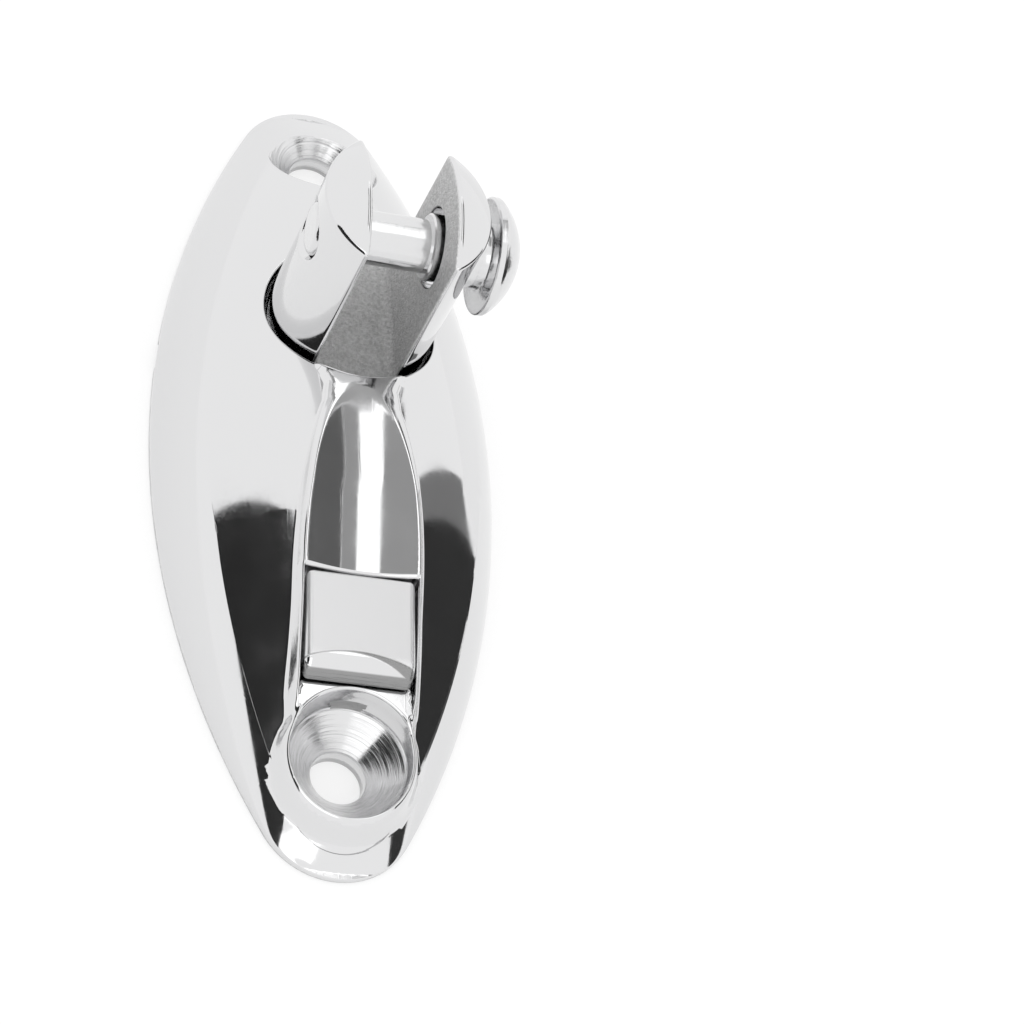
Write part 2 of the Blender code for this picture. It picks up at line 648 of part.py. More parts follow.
def make_latch_spring(parts, steel):
    """The coil spring between the casting's lug and the end of the plate's window."""
    start = LUG_HEAD_Y + GAP + SPRING_WIRE_RADIUS
    end = WINDOW_HEAD_Y - GAP - SPRING_WIRE_RADIUS
    steps_per_turn = 10
    count = SPRING_TURNS * steps_per_turn + 1
    curve = bpy.data.curves.new("latch_spring", "CURVE")
    curve.dimensions = "3D"
    curve.bevel_depth = SPRING_WIRE_RADIUS * SCALE
    curve.bevel_resolution = 1
    curve.use_fill_caps = True
    spline = curve.splines.new("POLY")
    spline.points.add(count - 1)
    for index, spot in enumerate(spline.points):
        angle = math.tau * index / steps_per_turn
        along = start + (end - start) * index / (count - 1)
        spot.co = (SPRING_MEAN_RADIUS * math.cos(angle) * SCALE, (along - start) * SCALE,
                   SPRING_MEAN_RADIUS * math.sin(angle) * SCALE, 1.0)
    drawn = bpy.data.objects.new("latch_spring_wire", curve)
    drawn.location = Vector((0.0, start, SPRING_Z)) * SCALE
    bpy.context.scene.collection.objects.link(drawn)
    return place(mesh_from_curve("latch_spring", drawn), parts, steel)


def make_cover_plate(parts, cutters, steel):
    """The thin plate that closes the latch channel from below."""
    outline = rounded_rectangle(COVER_HALF_WIDTH, COVER_FOOT_Y, COVER_HEAD_Y, COVER_CORNER)
    plate = place(flat_outline("cover_plate", outline, COVER_BOTTOM_Z, COVER_TOP_Z), parts, steel)
    for number, (x, y) in enumerate(COVER_SCREWS):
        seat = screw_seat_cutter(f"cover_seat_cutter_{number}", x, y, COVER_BOTTOM_Z,
                                 COVER_TOP_Z + 1)
        combine(plate, seat, "DIFFERENCE", cutters)
    return plate


def make_cover_screws(parts, steel):
    """Four equal screws that hold the cover plate."""
    return [place(small_screw(f"cover_screw_{number + 1}", x, y, COVER_BOTTOM_Z,
                              COVER_SCREW_TOP_Z), parts, steel)
            for number, (x, y) in enumerate(COVER_SCREWS)]


def smooth_rounds(objects):
    """Shade round faces smooth and keep the real edges sharp."""
    for obj in objects:
        obj.data.shade_smooth()
        if obj.data.polygons:
            obj.data.set_sharp_from_angle(angle=math.radians(30))


def main():
    for obj in list(bpy.data.objects):
        bpy.data.objects.remove(obj)
    parts = make_collection("swivel_deck_hinge")
    cutters = make_collection("cutters")
    polished = make_material("polished_steel", (0.86, 0.86, 0.87), 0.08, 1.0)
    turned_steel = make_material("turned_steel", (0.80, 0.80, 0.81), 0.22, 1.0)
    plain = make_material("plain_steel", (0.60, 0.60, 0.61), 0.35, 1.0)
    spring_steel = make_material("spring_steel", (0.55, 0.55, 0.56), 0.30, 1.0)
    made = [
        make_base_casting(parts, cutters, polished),
        make_swivel_fork(parts, cutters, polished),
        make_clevis_pin(parts, turned_steel),
        make_latch_button(parts, cutters, polished),
        make_latch_plate(parts, cutters, plain),
        make_plate_screw(parts, plain),
        make_latch_spring(parts, spring_steel),
        make_cover_plate(parts, cutters, plain),
    ]
    made += make_cover_screws(parts, plain)
    smooth_rounds(made)


main()
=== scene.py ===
"""Looks of the swivel deck hinge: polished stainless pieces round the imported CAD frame.

The four pieces that show are built again here with dense, smooth surfaces and rounded edges.
The hidden ones keep their CAD shape and get their own materials.  Builder functions work in
millimetres, in the CAD frame: +X across, +Y towards the fork, +Z up; MM turns them into metres.
"""
import math

import bmesh
import bpy
import numpy as np
from mathutils import Matrix, Vector
from mathutils.geometry import delaunay_2d_cdt

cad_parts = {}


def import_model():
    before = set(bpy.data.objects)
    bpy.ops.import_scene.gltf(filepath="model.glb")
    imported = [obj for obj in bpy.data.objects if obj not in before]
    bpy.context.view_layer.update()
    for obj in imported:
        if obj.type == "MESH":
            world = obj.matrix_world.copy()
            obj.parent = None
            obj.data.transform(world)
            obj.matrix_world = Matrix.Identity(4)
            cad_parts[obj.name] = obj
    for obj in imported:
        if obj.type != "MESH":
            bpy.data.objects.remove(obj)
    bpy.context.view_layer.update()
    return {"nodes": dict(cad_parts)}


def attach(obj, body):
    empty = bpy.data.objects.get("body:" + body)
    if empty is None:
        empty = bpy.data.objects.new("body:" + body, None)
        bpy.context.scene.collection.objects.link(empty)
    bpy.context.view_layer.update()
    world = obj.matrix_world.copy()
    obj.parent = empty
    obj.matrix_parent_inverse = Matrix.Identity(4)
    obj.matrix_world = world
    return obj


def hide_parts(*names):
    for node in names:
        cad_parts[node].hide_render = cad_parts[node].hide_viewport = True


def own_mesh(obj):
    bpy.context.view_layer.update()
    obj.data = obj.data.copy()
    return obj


MM = 0.001

# Outline of the base
BASE_HALF_LENGTH = 54.6
BASE_HALF_WIDTH = 21.25
BASE_END_RADIUS = 9.6
END_REACH = BASE_HALF_LENGTH - BASE_END_RADIUS
SIDE_RADIUS = ((BASE_HALF_WIDTH ** 2 + END_REACH ** 2 - BASE_END_RADIUS ** 2)
               / (2 * (BASE_HALF_WIDTH - BASE_END_RADIUS)))
SIDE_SHIFT = SIDE_RADIUS - BASE_HALF_WIDTH
EDGE_HEIGHT = 1.1

# Domed top
CROWN_RISE = 15.9
CROWN_REACH = 53.8
CROWN_POWER = 2.16
SIDE_POWER = 2.4
SIDE_ROUNDING = 0.75

# Flat flanks of the foot half, inside a crease that runs round the foot
CREASE_INSET_FOOT = 2.5
CREASE_INSET_HEAD = 4.3
CREASE_FOOT_Y = -52.0
CREASE_HEAD_Y = -15.0
FLANK_SLOPE = 0.61
FLANK_FADE_START_Y = 8.0
FLANK_FADE_END_Y = -24.0
FLANK_CAP = 0.8
FLANK_CAP_END_Y = -33.0
FLANK_BLEND = 1.0

# Spine, its crest as (y, z), with the thumb groove and the foot boss
SPINE_CREST = ((54, 16.0), (22.0, 16.0), (4.0, 17.4), (1.4, 17.5), (-11.4, 16.9), (-22.1, 14.7),
               (-27.6, 13.4), (-35.6, 11.2), (-38.6, 9.0), (-46.0, 0.0), (-54.0, -8.0))
SPINE_BLUR = 1.2
SPINE_START_Y = 6.0
SPINE_START_FADE = 3.0
SPINE_SINK = 2.5
SPINE_SINK_END_Y = -42.0
SPINE_SINK_FADE = 6.0
SPINE_SIDE_SLOPE = 4.5
SPINE_BLEND = 1.4
SPINE_EDGE_ROUND = 0.25
GROOVE_EDGE_ROUND = 0.02
BOSS_EDGE_ROUND = 0.4
GROOVE_START_Y = 1.4
GROOVE_HALF_WIDTH = 7.0
GROOVE_ARCH = 24.0
GROOVE_DEPTH = 1.15
BOSS_RADIUS = 7.9
BOSS_BLEND = 2.6
BOSS_HEIGHT = 8.3
BOSS_SLOPE = 0.22
BOSS_SIDE_SLOPE = 5.5
NECK_HALF_WIDTH = 3.3
NECK_FLARE_Y = -1.0
NECK_FLARE = 0.35
NECK_TAPER = 0.08
NECK_LEAST = 1.2

# Deck screw holes
HEAD_SCREW_Y = 43.3
FOOT_SCREW_Y = -42.5
SCREW_HOLE_RADIUS = 3.3
SCREW_LAND = 2.2
SEAT_RADIUS = 7.0
MOUTH_RADIUS = 7.4
SEAT_Z = SCREW_LAND + SEAT_RADIUS - SCREW_HOLE_RADIUS
MOUTH_Z = SEAT_Z + 3.0
ABOVE_ALL_Z = 30.0

# Fork and socket
FORK_Y = 13.6
FORK_RADIUS = 10.0
BALL_Z = 15.2
BALL_FLAT_Z = 8.5
EAR_TOP_Z = 40.2
EAR_DOME_RADIUS = 16.0
SLOT_HALF_WIDTH = 4.94
SLOT_FLOOR_Z = 14.2
SLOT_DRAFT = 0.006
SOCKET_RADIUS = 10.6
SOCKET_FLOOR_Z = 8.2
STEM_RADIUS = 4.0
STEM_NECK_RADIUS = 2.8
STEM_NECK_TOP_Z = 5.75
STEM_NECK_BOTTOM_Z = 3.05
STEM_END_Z = 1.9

# Clevis pin
PIN_Z = 29.6
PIN_RADIUS = 3.15
PIN_TIP_X = -9.7
PIN_SHOULDER_RADIUS = 3.95
PIN_SHOULDER_X = 4.2
PIN_HEAD_X = 11.2
PIN_HEAD_RADIUS = 7.0
PIN_HEAD_RIM = 0.9
PIN_HEAD_HEIGHT = 4.2
LEFT_HOLE_RADIUS = 3.45
RIGHT_HOLE_RADIUS = 4.8
LEFT_FLARE_X = -8.9
LEFT_FLARE_SLOPE = 0.5

# Latch button and its pocket
BUTTON_HALF_WIDTH = 6.5
BUTTON_HEAD_Y = -22.5
BUTTON_FOOT_Y = -35.0
BUTTON_HEAD_Z = 14.1
BUTTON_SLOPE = 0.135
BUTTON_UNDER_Z = 10.2
POCKET_HALF_WIDTH = 6.75
POCKET_HEAD_Y = -22.15
POCKET_FOOT_Y = -38.8
POCKET_FLOOR_Z = 9.8
SHELF_SLOPE = 0.12
POST_HALF_WIDTH = 3.0
POST_HEAD_Y = -26.0
POST_FOOT_Y = -30.0
POST_UNDER_Z = 5.7
PLATE_SCREW_TOP_Z = 9.4

# Underside: latch channel, spring and its lug, cover plate, screws and drain notches
GAP = 0.3
LATCH_HALF_WIDTH = 5.6
CHANNEL_TAIL_Y = -35.3
CHANNEL_ROOF_Z = 5.7
WINDOW_HALF_WIDTH = 2.6
WINDOW_FOOT_Y = -19.0
WINDOW_HEAD_Y = -3.0
SPRING_ROOM_Z = 7.0
SPRING_Z = 4.4
SPRING_WIRE_RADIUS = 0.3
SPRING_MEAN_RADIUS = 1.9
SPRING_TURNS = 8
SPRING_STEPS = 24
SPRING_FOOT_Y = -15.9
SPRING_HEAD_Y = -3.6
LATCH_TRAVEL = 4.0
LUG_HALF_WIDTH = 2.2
LUG_FOOT_Y = -18.5
LUG_HEAD_Y = -16.5
LUG_BOTTOM_Z = 2.0
LUG_TOP_Z = 7.8
COVER_HALF_WIDTH = 10.5
COVER_FOOT_Y = -35.4
COVER_HEAD_Y = 21.4
COVER_TOP_Z = 1.4
COVER_CORNER = 3.0
COVER_SCREWS = ((-8.3, -30.5), (8.3, -30.5), (-8.3, 3.0), (8.3, 3.0))
COVER_THREAD_RADIUS = 1.5
COVER_THREAD_TOP_Z = 5.7
DRAIN_HALF_LENGTH = 2.0
DRAIN_DEPTH = 1.6
DRAIN_HEIGHT = 1.0

# Rounding of the edges that show
SOCKET_RIM_ROUND = 0.45
MOUTH_RIM_ROUND = 0.35
POCKET_RIM_ROUND = 0.45
POCKET_RIM_FADE = 0.8
FORK_CROWN_ROUND = 0.25
FORK_FOOT_ROUND = 0.3
SLOT_FILLET = 1.2
EAR_EDGE_ROUND = 0.7
HOLE_EDGE_ROUND = 0.2
BUTTON_NOSE_ROUND = 3.0
BUTTON_SIDE_ROUND = 0.8
BUTTON_HEAD_ROUND = 0.5
BUTTON_UNDER_ROUND = 0.35

# Angles in degrees above which edges stay sharp
BASE_SHARP_ANGLE = 28
PIN_SHARP_ANGLE = 32
SPRING_SHARP_ANGLE = 50

# Numbers of points round loops and rings, and the steps of the grids
OUTLINE_STEPS = 420
ROUND_STEPS = 180
COARSE_STEP = 0.9
FINE_STEP = 0.5
CORNER_STEP = 0.12
FORK_STEP = 0.2
BUTTON_STEP = 0.16
PIN_STEPS = 144
WIRE_STEPS = 10

# Extra lines of points beside the base's edges: where they run, and the room left round them
CREASE_MESH_HEAD_Y = -8.0
CREASE_FINE_HEAD_Y = -38.0
SPINE_MESH_HEAD_Y = 2.6
SPINE_MESH_FOOT_Y = -38.4
FINE_HALF_WIDTH = 10.8
FINE_HEAD_Y = 4.5
CREST_LINE_OFFSETS = (-0.4, -0.25, -0.12, 0.0, 0.12, 0.24, 0.36, 0.48, 0.62, 0.8, 1.05)
GROOVE_LINE_SCALES = (0.955, 0.975, 0.99, 1.0, 1.01, 1.03)
CREASE_LINE_OFFSETS = (-0.3, -0.12, -0.03, 0.03, 0.12, 0.3)
OUTLINE_INSETS = (0.02, 0.06, 0.12, 0.22, 0.36, 0.55, 0.8, 1.15, 1.6, 2.05)
RIM_OFFSETS = (0.02, 0.08, 0.18, 0.3, 0.45)
BOSS_RINGS = tuple(np.arange(8.1, 10.2, 0.08))
BOSS_RINGS_HEAD_Y = -40.0
SOCKET_CLEARANCE = 0.75
MOUTH_CLEARANCE = 0.65
SHELF_END_CLEARANCE = 0.5

# Reflectance of the stainless: polished, satin, ground and blasted; the dark ground colour is the
# ground finish darkened with painted shade
STEEL = (0.71, 0.71, 0.715)
SATIN = (0.80, 0.80, 0.805)
# Dark ground colour: the ground finish, painted darker as shade on the lower front of the button's
# nose
GROUND_AND_SHADE = (0.30, 0.30, 0.30)
BLASTED = (0.52, 0.52, 0.52)

# Where the button's and the fork's finishes change, the ground edge with its painted shade among them;
# an arch is (middle, bend, line)
SATIN_ARCH = (-0.5, 30.0, -31.9)
GROUND_SHADE_ARCH = (-1.5, 42.0, -32.1)
# Below these heights the button's nose gets the dark ground colour: painted shade
GROUND_SHADE_EDGE_Z = (11.65, 11.85)
SLOT_MATTE_X = (5.02, 5.30)
SLOT_MATTE_Z = (13.6, 14.0)

# Camera: place in metres, angles in degrees, lens and sensor in millimetres
CAMERA_PLACE = (-0.10697, -0.22498, 0.32735)
CAMERA_BEARING = 30.47
CAMERA_DOWN = 51.62
CAMERA_ROLL = 32.64
CAMERA_LENS = 119.85
SENSOR_WIDTH = 36.0

# Upright panels beside the hinge as (name, x, y, z, shade), in metres
SIDE_PANELS = (
    ("left_panel", -0.060, (-0.088, 0.006), (0.022, 0.077), 0.03),
    ("right_panel", 0.070, (-0.078, 0.010), (0.014, 0.046), 0.04),
    ("right_edge", 0.070, (0.010, 0.022), (0.014, 0.046), 0.22),
)

# Overhead panels as (name, x, y, shade, glow), in metres
OVERHEAD_Z = 0.7
OVERHEAD_PANELS = (
    ("front_light", (-0.90, 0.10), (-1.10, -0.42), 0.0, 1.6),
    ("groove_left", (0.36, 0.66), (-0.02, 0.60), 0.13, 0.0),
    ("groove_left_edge", (0.235, 0.355), (-0.02, 0.60), 0.36, 0.0),
    ("groove_light", (0.075, 0.230), (-0.05, 0.60), 0.0, 1.7),
    ("groove_right", (-0.13, 0.07), (-0.02, 0.45), 0.36, 0.0),
)

# Floor, half its width in metres, and light
FLOOR_HALF = 3.0
FLOOR_SHADE = 0.4
FLOOR_GLOW = 0.62
LIGHT_STRENGTH = 1.1


# ---- shape of the base's top

def soft_table(table, y, blur):
    """A table of (y, value) read at y, with its corners smoothed over the distance blur."""
    ys, values = np.array(table[::-1], dtype=float).T
    steps = np.linspace(-2.0, 2.0, 9)
    weights = np.exp(-steps * steps)
    near = [np.interp(y + step * blur, ys, values) for step in steps]
    return sum(weight * value for weight, value in zip(weights, near)) / weights.sum()


def smooth_max(first, second, blend):
    """The higher of two heights, with a concave fillet where they meet."""
    share = np.maximum(blend - np.abs(first - second), 0.0) / blend
    return np.maximum(first, second) + share * share * blend / 4


def half_width(y):
    """Half the width of the base's outline at stations along its length."""
    tangent_y = SIDE_RADIUS * END_REACH / math.hypot(END_REACH, SIDE_SHIFT)
    far = np.abs(y)
    long_side = np.sqrt(np.maximum(SIDE_RADIUS ** 2 - far * far, 0.0)) - SIDE_SHIFT
    end = np.sqrt(np.maximum(BASE_END_RADIUS ** 2 - (far - END_REACH) ** 2, 0.0))
    return np.where(far <= tangent_y, long_side, end)


def outline_inset(x, y):
    """Distance inside the outline."""
    across = np.abs(x) + SIDE_SHIFT
    far = np.abs(y)
    return np.where(far * SIDE_SHIFT < across * END_REACH, SIDE_RADIUS - np.hypot(across, far),
                    BASE_END_RADIUS - np.hypot(x, far - END_REACH))


def dome_height(x, y):
    """The domed top."""
    rise = CROWN_RISE * np.maximum(1 - (np.abs(y) / CROWN_REACH) ** CROWN_POWER, 0.0)
    width = np.maximum(half_width(y), 0.01)
    share = np.minimum(np.abs(x) / width, 1.0)
    side = np.maximum(1 - share ** SIDE_POWER, 0.0) ** SIDE_ROUNDING
    return EDGE_HEIGHT + rise * side


def crease_inset(y):
    """How far inside the outline the crease runs."""
    share = np.clip((y - CREASE_FOOT_Y) / (CREASE_HEAD_Y - CREASE_FOOT_Y), 0.0, 1.0)
    return CREASE_INSET_FOOT + (CREASE_INSET_HEAD - CREASE_INSET_FOOT) * share


def flank_height(x, y):
    """The dome with the flat flanks of its foot half, which end at the crease."""
    dome = dome_height(x, y)
    inset = crease_inset(y)
    crease_x = np.maximum(half_width(y) - inset, 0.0)
    crease_z = dome_height(crease_x, np.maximum(y, inset - BASE_HALF_LENGTH))
    inward = outline_inset(x, y) - inset
    cap = soft_table(SPINE_CREST, np.maximum(y, FLANK_CAP_END_Y), SPINE_BLUR) - FLANK_CAP
    flat = -smooth_max(-crease_z - FLANK_SLOPE * inward, -cap, FLANK_BLEND)
    fade = np.clip((FLANK_FADE_START_Y - y) / (FLANK_FADE_START_Y - FLANK_FADE_END_Y), 0.0, 1.0)
    fade = fade * fade * (3 - 2 * fade)
    return np.where(inward > 0, dome + fade * (flat - dome), dome)


def groove_share(x, y):
    """How far inside the thumb groove: 0 on its outline, 1 along its middle."""
    rest = np.clip(1 - (GROOVE_START_Y - y) / GROOVE_ARCH, 0.0, None)
    return 1 - (x / GROOVE_HALF_WIDTH) ** 2 - rest * rest


def spine_half_width(y):
    """Half the width of the spine's flat crest, which flares into the socket's rim."""
    rest = np.clip(1 - (GROOVE_START_Y - y) / GROOVE_ARCH, 0.0, 1.0)
    groove = GROOVE_HALF_WIDTH * np.sqrt(1 - rest * rest + 0.0001)
    neck = NECK_HALF_WIDTH + NECK_FLARE * np.maximum(y - NECK_FLARE_Y, 0.0)
    neck = neck + NECK_TAPER * np.minimum(y, 0.0)
    return np.hypot(groove, np.maximum(neck, NECK_LEAST))


def spine_height(x, y):
    """The spine with its thumb groove and softly rounded edges."""
    crest = soft_table(SPINE_CREST, y, SPINE_BLUR)
    outside = np.abs(x) - spine_half_width(y)
    fall = 0.5 * (outside + np.sqrt(outside * outside + SPINE_EDGE_ROUND ** 2))
    share = groove_share(x, y)
    dip = 0.5 * GROOVE_DEPTH * (share + np.sqrt(share * share + GROOVE_EDGE_ROUND ** 2))
    return crest - SPINE_SIDE_SLOPE * fall - dip


def boss_height(x, y):
    """The sloping boss round the foot's screw hole."""
    outside = np.hypot(x, y - FOOT_SCREW_Y) - BOSS_RADIUS
    fall = 0.5 * (outside + np.sqrt(outside * outside + BOSS_EDGE_ROUND ** 2))
    return BOSS_HEIGHT + BOSS_SLOPE * (y - FOOT_SCREW_Y) - BOSS_SIDE_SLOPE * fall


def plain_top(x, y):
    """Height of the casting's top before anything is cut out of it."""
    flank = flank_height(x, y)
    ridge = np.maximum(spine_half_width(y) - np.abs(x), 0.0)
    ridge = ridge * np.clip((y - SPINE_SINK_END_Y) / SPINE_SINK_FADE, 0.0, 1.0)
    blend = np.clip((SPINE_START_Y - y) / SPINE_START_FADE, 0.0, 1.0)
    blend = blend * blend * (3 - 2 * blend)
    beside = flank - SPINE_SINK * ridge * blend
    with_spine = smooth_max(beside, spine_height(x, y), SPINE_BLEND)
    with_boss = smooth_max(with_spine, boss_height(x, y), BOSS_BLEND)
    return flank + (with_boss - flank) * blend


def rim_drop(distance, radius):
    """How far a rounded rim lies below the sharp one, by distance from the cut."""
    inward = np.clip(radius - distance, 0.0, radius)
    return radius - np.sqrt(np.maximum(radius * radius - inward * inward, 0.0))


def socket_radius_at(z):
    """Radius of the socket at a height: a bowl below, a straight wall above."""
    low = np.minimum(z - BALL_Z, 0.0)
    return np.sqrt(np.maximum(SOCKET_RADIUS ** 2 - low * low, 0.0))


def mouth_radius_at(z):
    """Radius of a deck screw hole at a height: hole, cone and steep mouth."""
    heights = (0.0, SCREW_LAND, SEAT_Z, MOUTH_Z, ABOVE_ALL_Z)
    radii = (SCREW_HOLE_RADIUS, SCREW_HOLE_RADIUS, SEAT_RADIUS, MOUTH_RADIUS, MOUTH_RADIUS)
    return np.interp(z, heights, radii)


def socket_distance(x, y, z):
    """Distance outside the socket's rim."""
    return np.hypot(x, y - FORK_Y) - socket_radius_at(z)


def mouth_distance(x, y, z, centre_y):
    """Distance outside the rim of a deck screw hole."""
    return np.hypot(x, y - centre_y) - mouth_radius_at(z)


def pocket_distance(x, y):
    """Distance outside the plan of the button's pocket."""
    across = np.abs(x) - POCKET_HALF_WIDTH
    along = y - POCKET_HEAD_Y
    outside = np.hypot(np.maximum(across, 0.0), np.maximum(along, 0.0))
    return outside + np.minimum(np.maximum(across, along), 0.0)


def mouth_drop(x, y, z):
    """The rounding of both deck screw holes' rims, fine where the dome cuts the cone."""
    drop = 0.0
    radius = MOUTH_RIM_ROUND * np.clip((z - SEAT_Z + 1.0) / 2.0, 0.25, 1.0)
    for centre_y in (HEAD_SCREW_Y, FOOT_SCREW_Y):
        drop = drop + rim_drop(mouth_distance(x, y, z, centre_y), radius)
    return drop


def top_surface(x, y):
    """The finished top outside the pocket: the plain top with its rims rounded."""
    plain = plain_top(x, y)
    wall = np.clip((plain - POCKET_FLOOR_Z) / POCKET_RIM_FADE, 0.0, 1.0)
    z = plain - rim_drop(socket_distance(x, y, plain), SOCKET_RIM_ROUND)
    z = z - mouth_drop(x, y, plain)
    return z - wall * rim_drop(pocket_distance(x, y), POCKET_RIM_ROUND)


def pocket_surface(x, y):
    """The shelf under the button, with the rounded rim of the screw hole."""
    shelf = POCKET_FLOOR_Z - SHELF_SLOPE * np.maximum(BUTTON_FOOT_Y - y, 0.0)
    plain = np.minimum(plain_top(x, y), shelf)
    return plain - mouth_drop(x, y, plain)


# ---- plan of the base's mesh

def full_turn(count):
    """Evenly spaced angles round a circle."""
    return math.tau * np.arange(count) / count


def turned(radius, angle, centre_y=0.0):
    """Plan points at a distance and an angle from a place on the midline."""
    return np.stack([radius * np.cos(angle), centre_y + radius * np.sin(angle)], axis=1)


def outline_loop(count, inset):
    """Points round the outline, evenly spaced, moved inward by a number or a function of y."""
    outward = turned(1.0, full_turn(6000))
    local = np.arctan2(*np.abs(outward.T[::-1]))
    long_side = local < math.atan2(END_REACH, SIDE_SHIFT)
    points = turned(np.where(long_side, SIDE_RADIUS, BASE_END_RADIUS), local)
    points += np.where(long_side[:, None], (-SIDE_SHIFT, 0.0), (0.0, END_REACH))
    points = np.copysign(points, outward)
    steps = np.hypot(*(np.roll(points, -1, axis=0) - points).T)
    along = np.concatenate([[0.0], np.cumsum(steps)])
    if callable(inset):
        inset = inset(points[:, 1])[:, None]
    moved = points - outward * inset
    wanted = np.linspace(0.0, along[-1], count, endpoint=False)
    return np.stack([np.interp(wanted, along, np.append(row, row[0])) for row in moved.T], axis=1)


def rim_loop(centre_y, radius_at, angles, offset):
    """Where a round cut meets the plain top, moved outward by offset."""
    radius = np.full(len(angles), MOUTH_RADIUS)
    for _ in range(60):
        radius = 0.5 * radius + 0.5 * radius_at(plain_top(*turned(radius, angles, centre_y).T))
    return turned(radius + offset, angles, centre_y)


def foot_angles():
    """Angles round the foot's screw hole, with one exactly on each wall of the pocket."""
    corner = math.acos(POCKET_HALF_WIDTH / MOUTH_RADIUS)
    upper = np.linspace(corner, math.pi - corner, 60, endpoint=False)
    lower = np.linspace(math.pi - corner, math.tau + corner, 120, endpoint=False)
    return np.concatenate([upper, lower])


def arc(centre, radius, start, end, steps):
    """Points along an arc; the angles are in degrees."""
    angles = np.radians(np.linspace(start, end, steps + 1))
    return [(centre[0] + radius * math.cos(a), centre[1] + radius * math.sin(a)) for a in angles]


def wall_line(offset):
    """The U of the pocket's walls in plan, from foot right to foot left, moved outward."""
    foot_y = FOOT_SCREW_Y + math.sqrt(MOUTH_RADIUS ** 2 - POCKET_HALF_WIDTH ** 2)
    half = POCKET_HALF_WIDTH + offset
    line = [(half, y) for y in np.linspace(foot_y, POCKET_HEAD_Y, 50, endpoint=False)]
    line += arc((POCKET_HALF_WIDTH, POCKET_HEAD_Y), offset, 0, 90, 4 if offset > 0 else 0)
    line += [(x, POCKET_HEAD_Y + offset)
             for x in np.linspace(POCKET_HALF_WIDTH, 0, 17, endpoint=False)[1:]]
    return np.array(line + [(0.0, POCKET_HEAD_Y + offset)] + [(-x, y) for x, y in reversed(line)])


def hex_grid(low, high, step):
    """Points of a triangular grid inside a box."""
    rows = []
    for number, y in enumerate(np.arange(low[1], high[1], step * 0.866)):
        xs = np.arange(low[0] + (number % 2) * step / 2, high[0], step)
        rows.append(np.stack([xs, np.full(len(xs), y)], axis=1))
    return np.vstack(rows)


def crease_distance(points):
    """Distance of plan points from the crease of the flanks, measured inward."""
    return np.abs(outline_inset(*points.T) - crease_inset(points[:, 1]))


def crease_points(count, low_y, high_y):
    """Points in lines close beside the crease, between two values of y."""
    loops = [outline_loop(count, lambda y, side=side: crease_inset(y) + side)
             for side in CREASE_LINE_OFFSETS]
    points = np.vstack(loops)
    return points[(points[:, 1] >= low_y) & (points[:, 1] < high_y)]


def fill_points():
    """Points between the loops: coarse on the dome, fine on the spine and along its edges."""
    coarse = hex_grid((-21.5, -54.5), (21.5, 54.5), COARSE_STEP)
    fine_box = (np.abs(coarse[:, 0]) < FINE_HALF_WIDTH) & (coarse[:, 1] < FINE_HEAD_Y)
    fine = hex_grid((-FINE_HALF_WIDTH, -54.0), (FINE_HALF_WIDTH, FINE_HEAD_Y), FINE_STEP)
    lines = []
    for y in np.arange(SPINE_MESH_HEAD_Y, SPINE_MESH_FOOT_Y, -0.3):
        crest = float(spine_half_width(np.array(y)))
        lines += [(crest + offset, y) for offset in CREST_LINE_OFFSETS]
    for turn in np.radians(np.linspace(0.6, 90.0, 110)):
        y = GROOVE_START_Y - GROOVE_ARCH * (1 - math.cos(turn))
        half = GROOVE_HALF_WIDTH * math.sin(turn)
        lines += [(half * scale, y) for scale in GROOVE_LINE_SCALES]
    lines = np.array(lines)
    crest_edge = np.abs(fine[:, 0]) - spine_half_width(fine[:, 1])
    near = (crest_edge > -0.55) & (crest_edge < 1.3)
    near &= (fine[:, 1] < SPINE_MESH_HEAD_Y + 0.2) & (fine[:, 1] > SPINE_MESH_FOOT_Y - 0.2)
    groove_edge = np.abs(groove_share(*fine.T)) < 0.1
    near |= groove_edge & (fine[:, 1] < 1.6) & (fine[:, 1] > -22.8)
    boss = np.hypot(fine[:, 0], fine[:, 1] - FOOT_SCREW_Y)
    near |= ((boss > BOSS_RINGS[0] - 0.2) & (boss < BOSS_RINGS[-1] + 0.2)
             & (fine[:, 1] < BOSS_RINGS_HEAD_Y))
    fine = fine[~near]
    rings = np.vstack([turned(radius, full_turn(240), FOOT_SCREW_Y) for radius in BOSS_RINGS])
    rings = rings[(rings[:, 1] < BOSS_RINGS_HEAD_Y) & (crease_distance(rings) > 0.16)]
    mirrored = lines * np.array([-1.0, 1.0])
    spread = np.vstack([coarse[~fine_box], fine])
    spread = spread[(crease_distance(spread) > 0.5) | (spread[:, 1] > CREASE_MESH_HEAD_Y)]
    return np.vstack([spread, lines, mirrored, rings,
                      crease_points(OUTLINE_STEPS, CREASE_FINE_HEAD_Y, CREASE_MESH_HEAD_Y),
                      crease_points(4 * OUTLINE_STEPS, -BASE_HALF_LENGTH, CREASE_FINE_HEAD_Y)])


def shelf_end_points():
    """Fine points at the shelf's two foot corners, where the steep flank cuts it."""
    grid = hex_grid((5.8, -39.6), (POCKET_HALF_WIDTH - 0.05, -36.4), CORNER_STEP)
    z = plain_top(*grid.T)
    grid = grid[mouth_distance(*grid.T, z, FOOT_SCREW_Y) > SHELF_END_CLEARANCE]
    return np.vstack([grid, grid * np.array([-1.0, 1.0])])


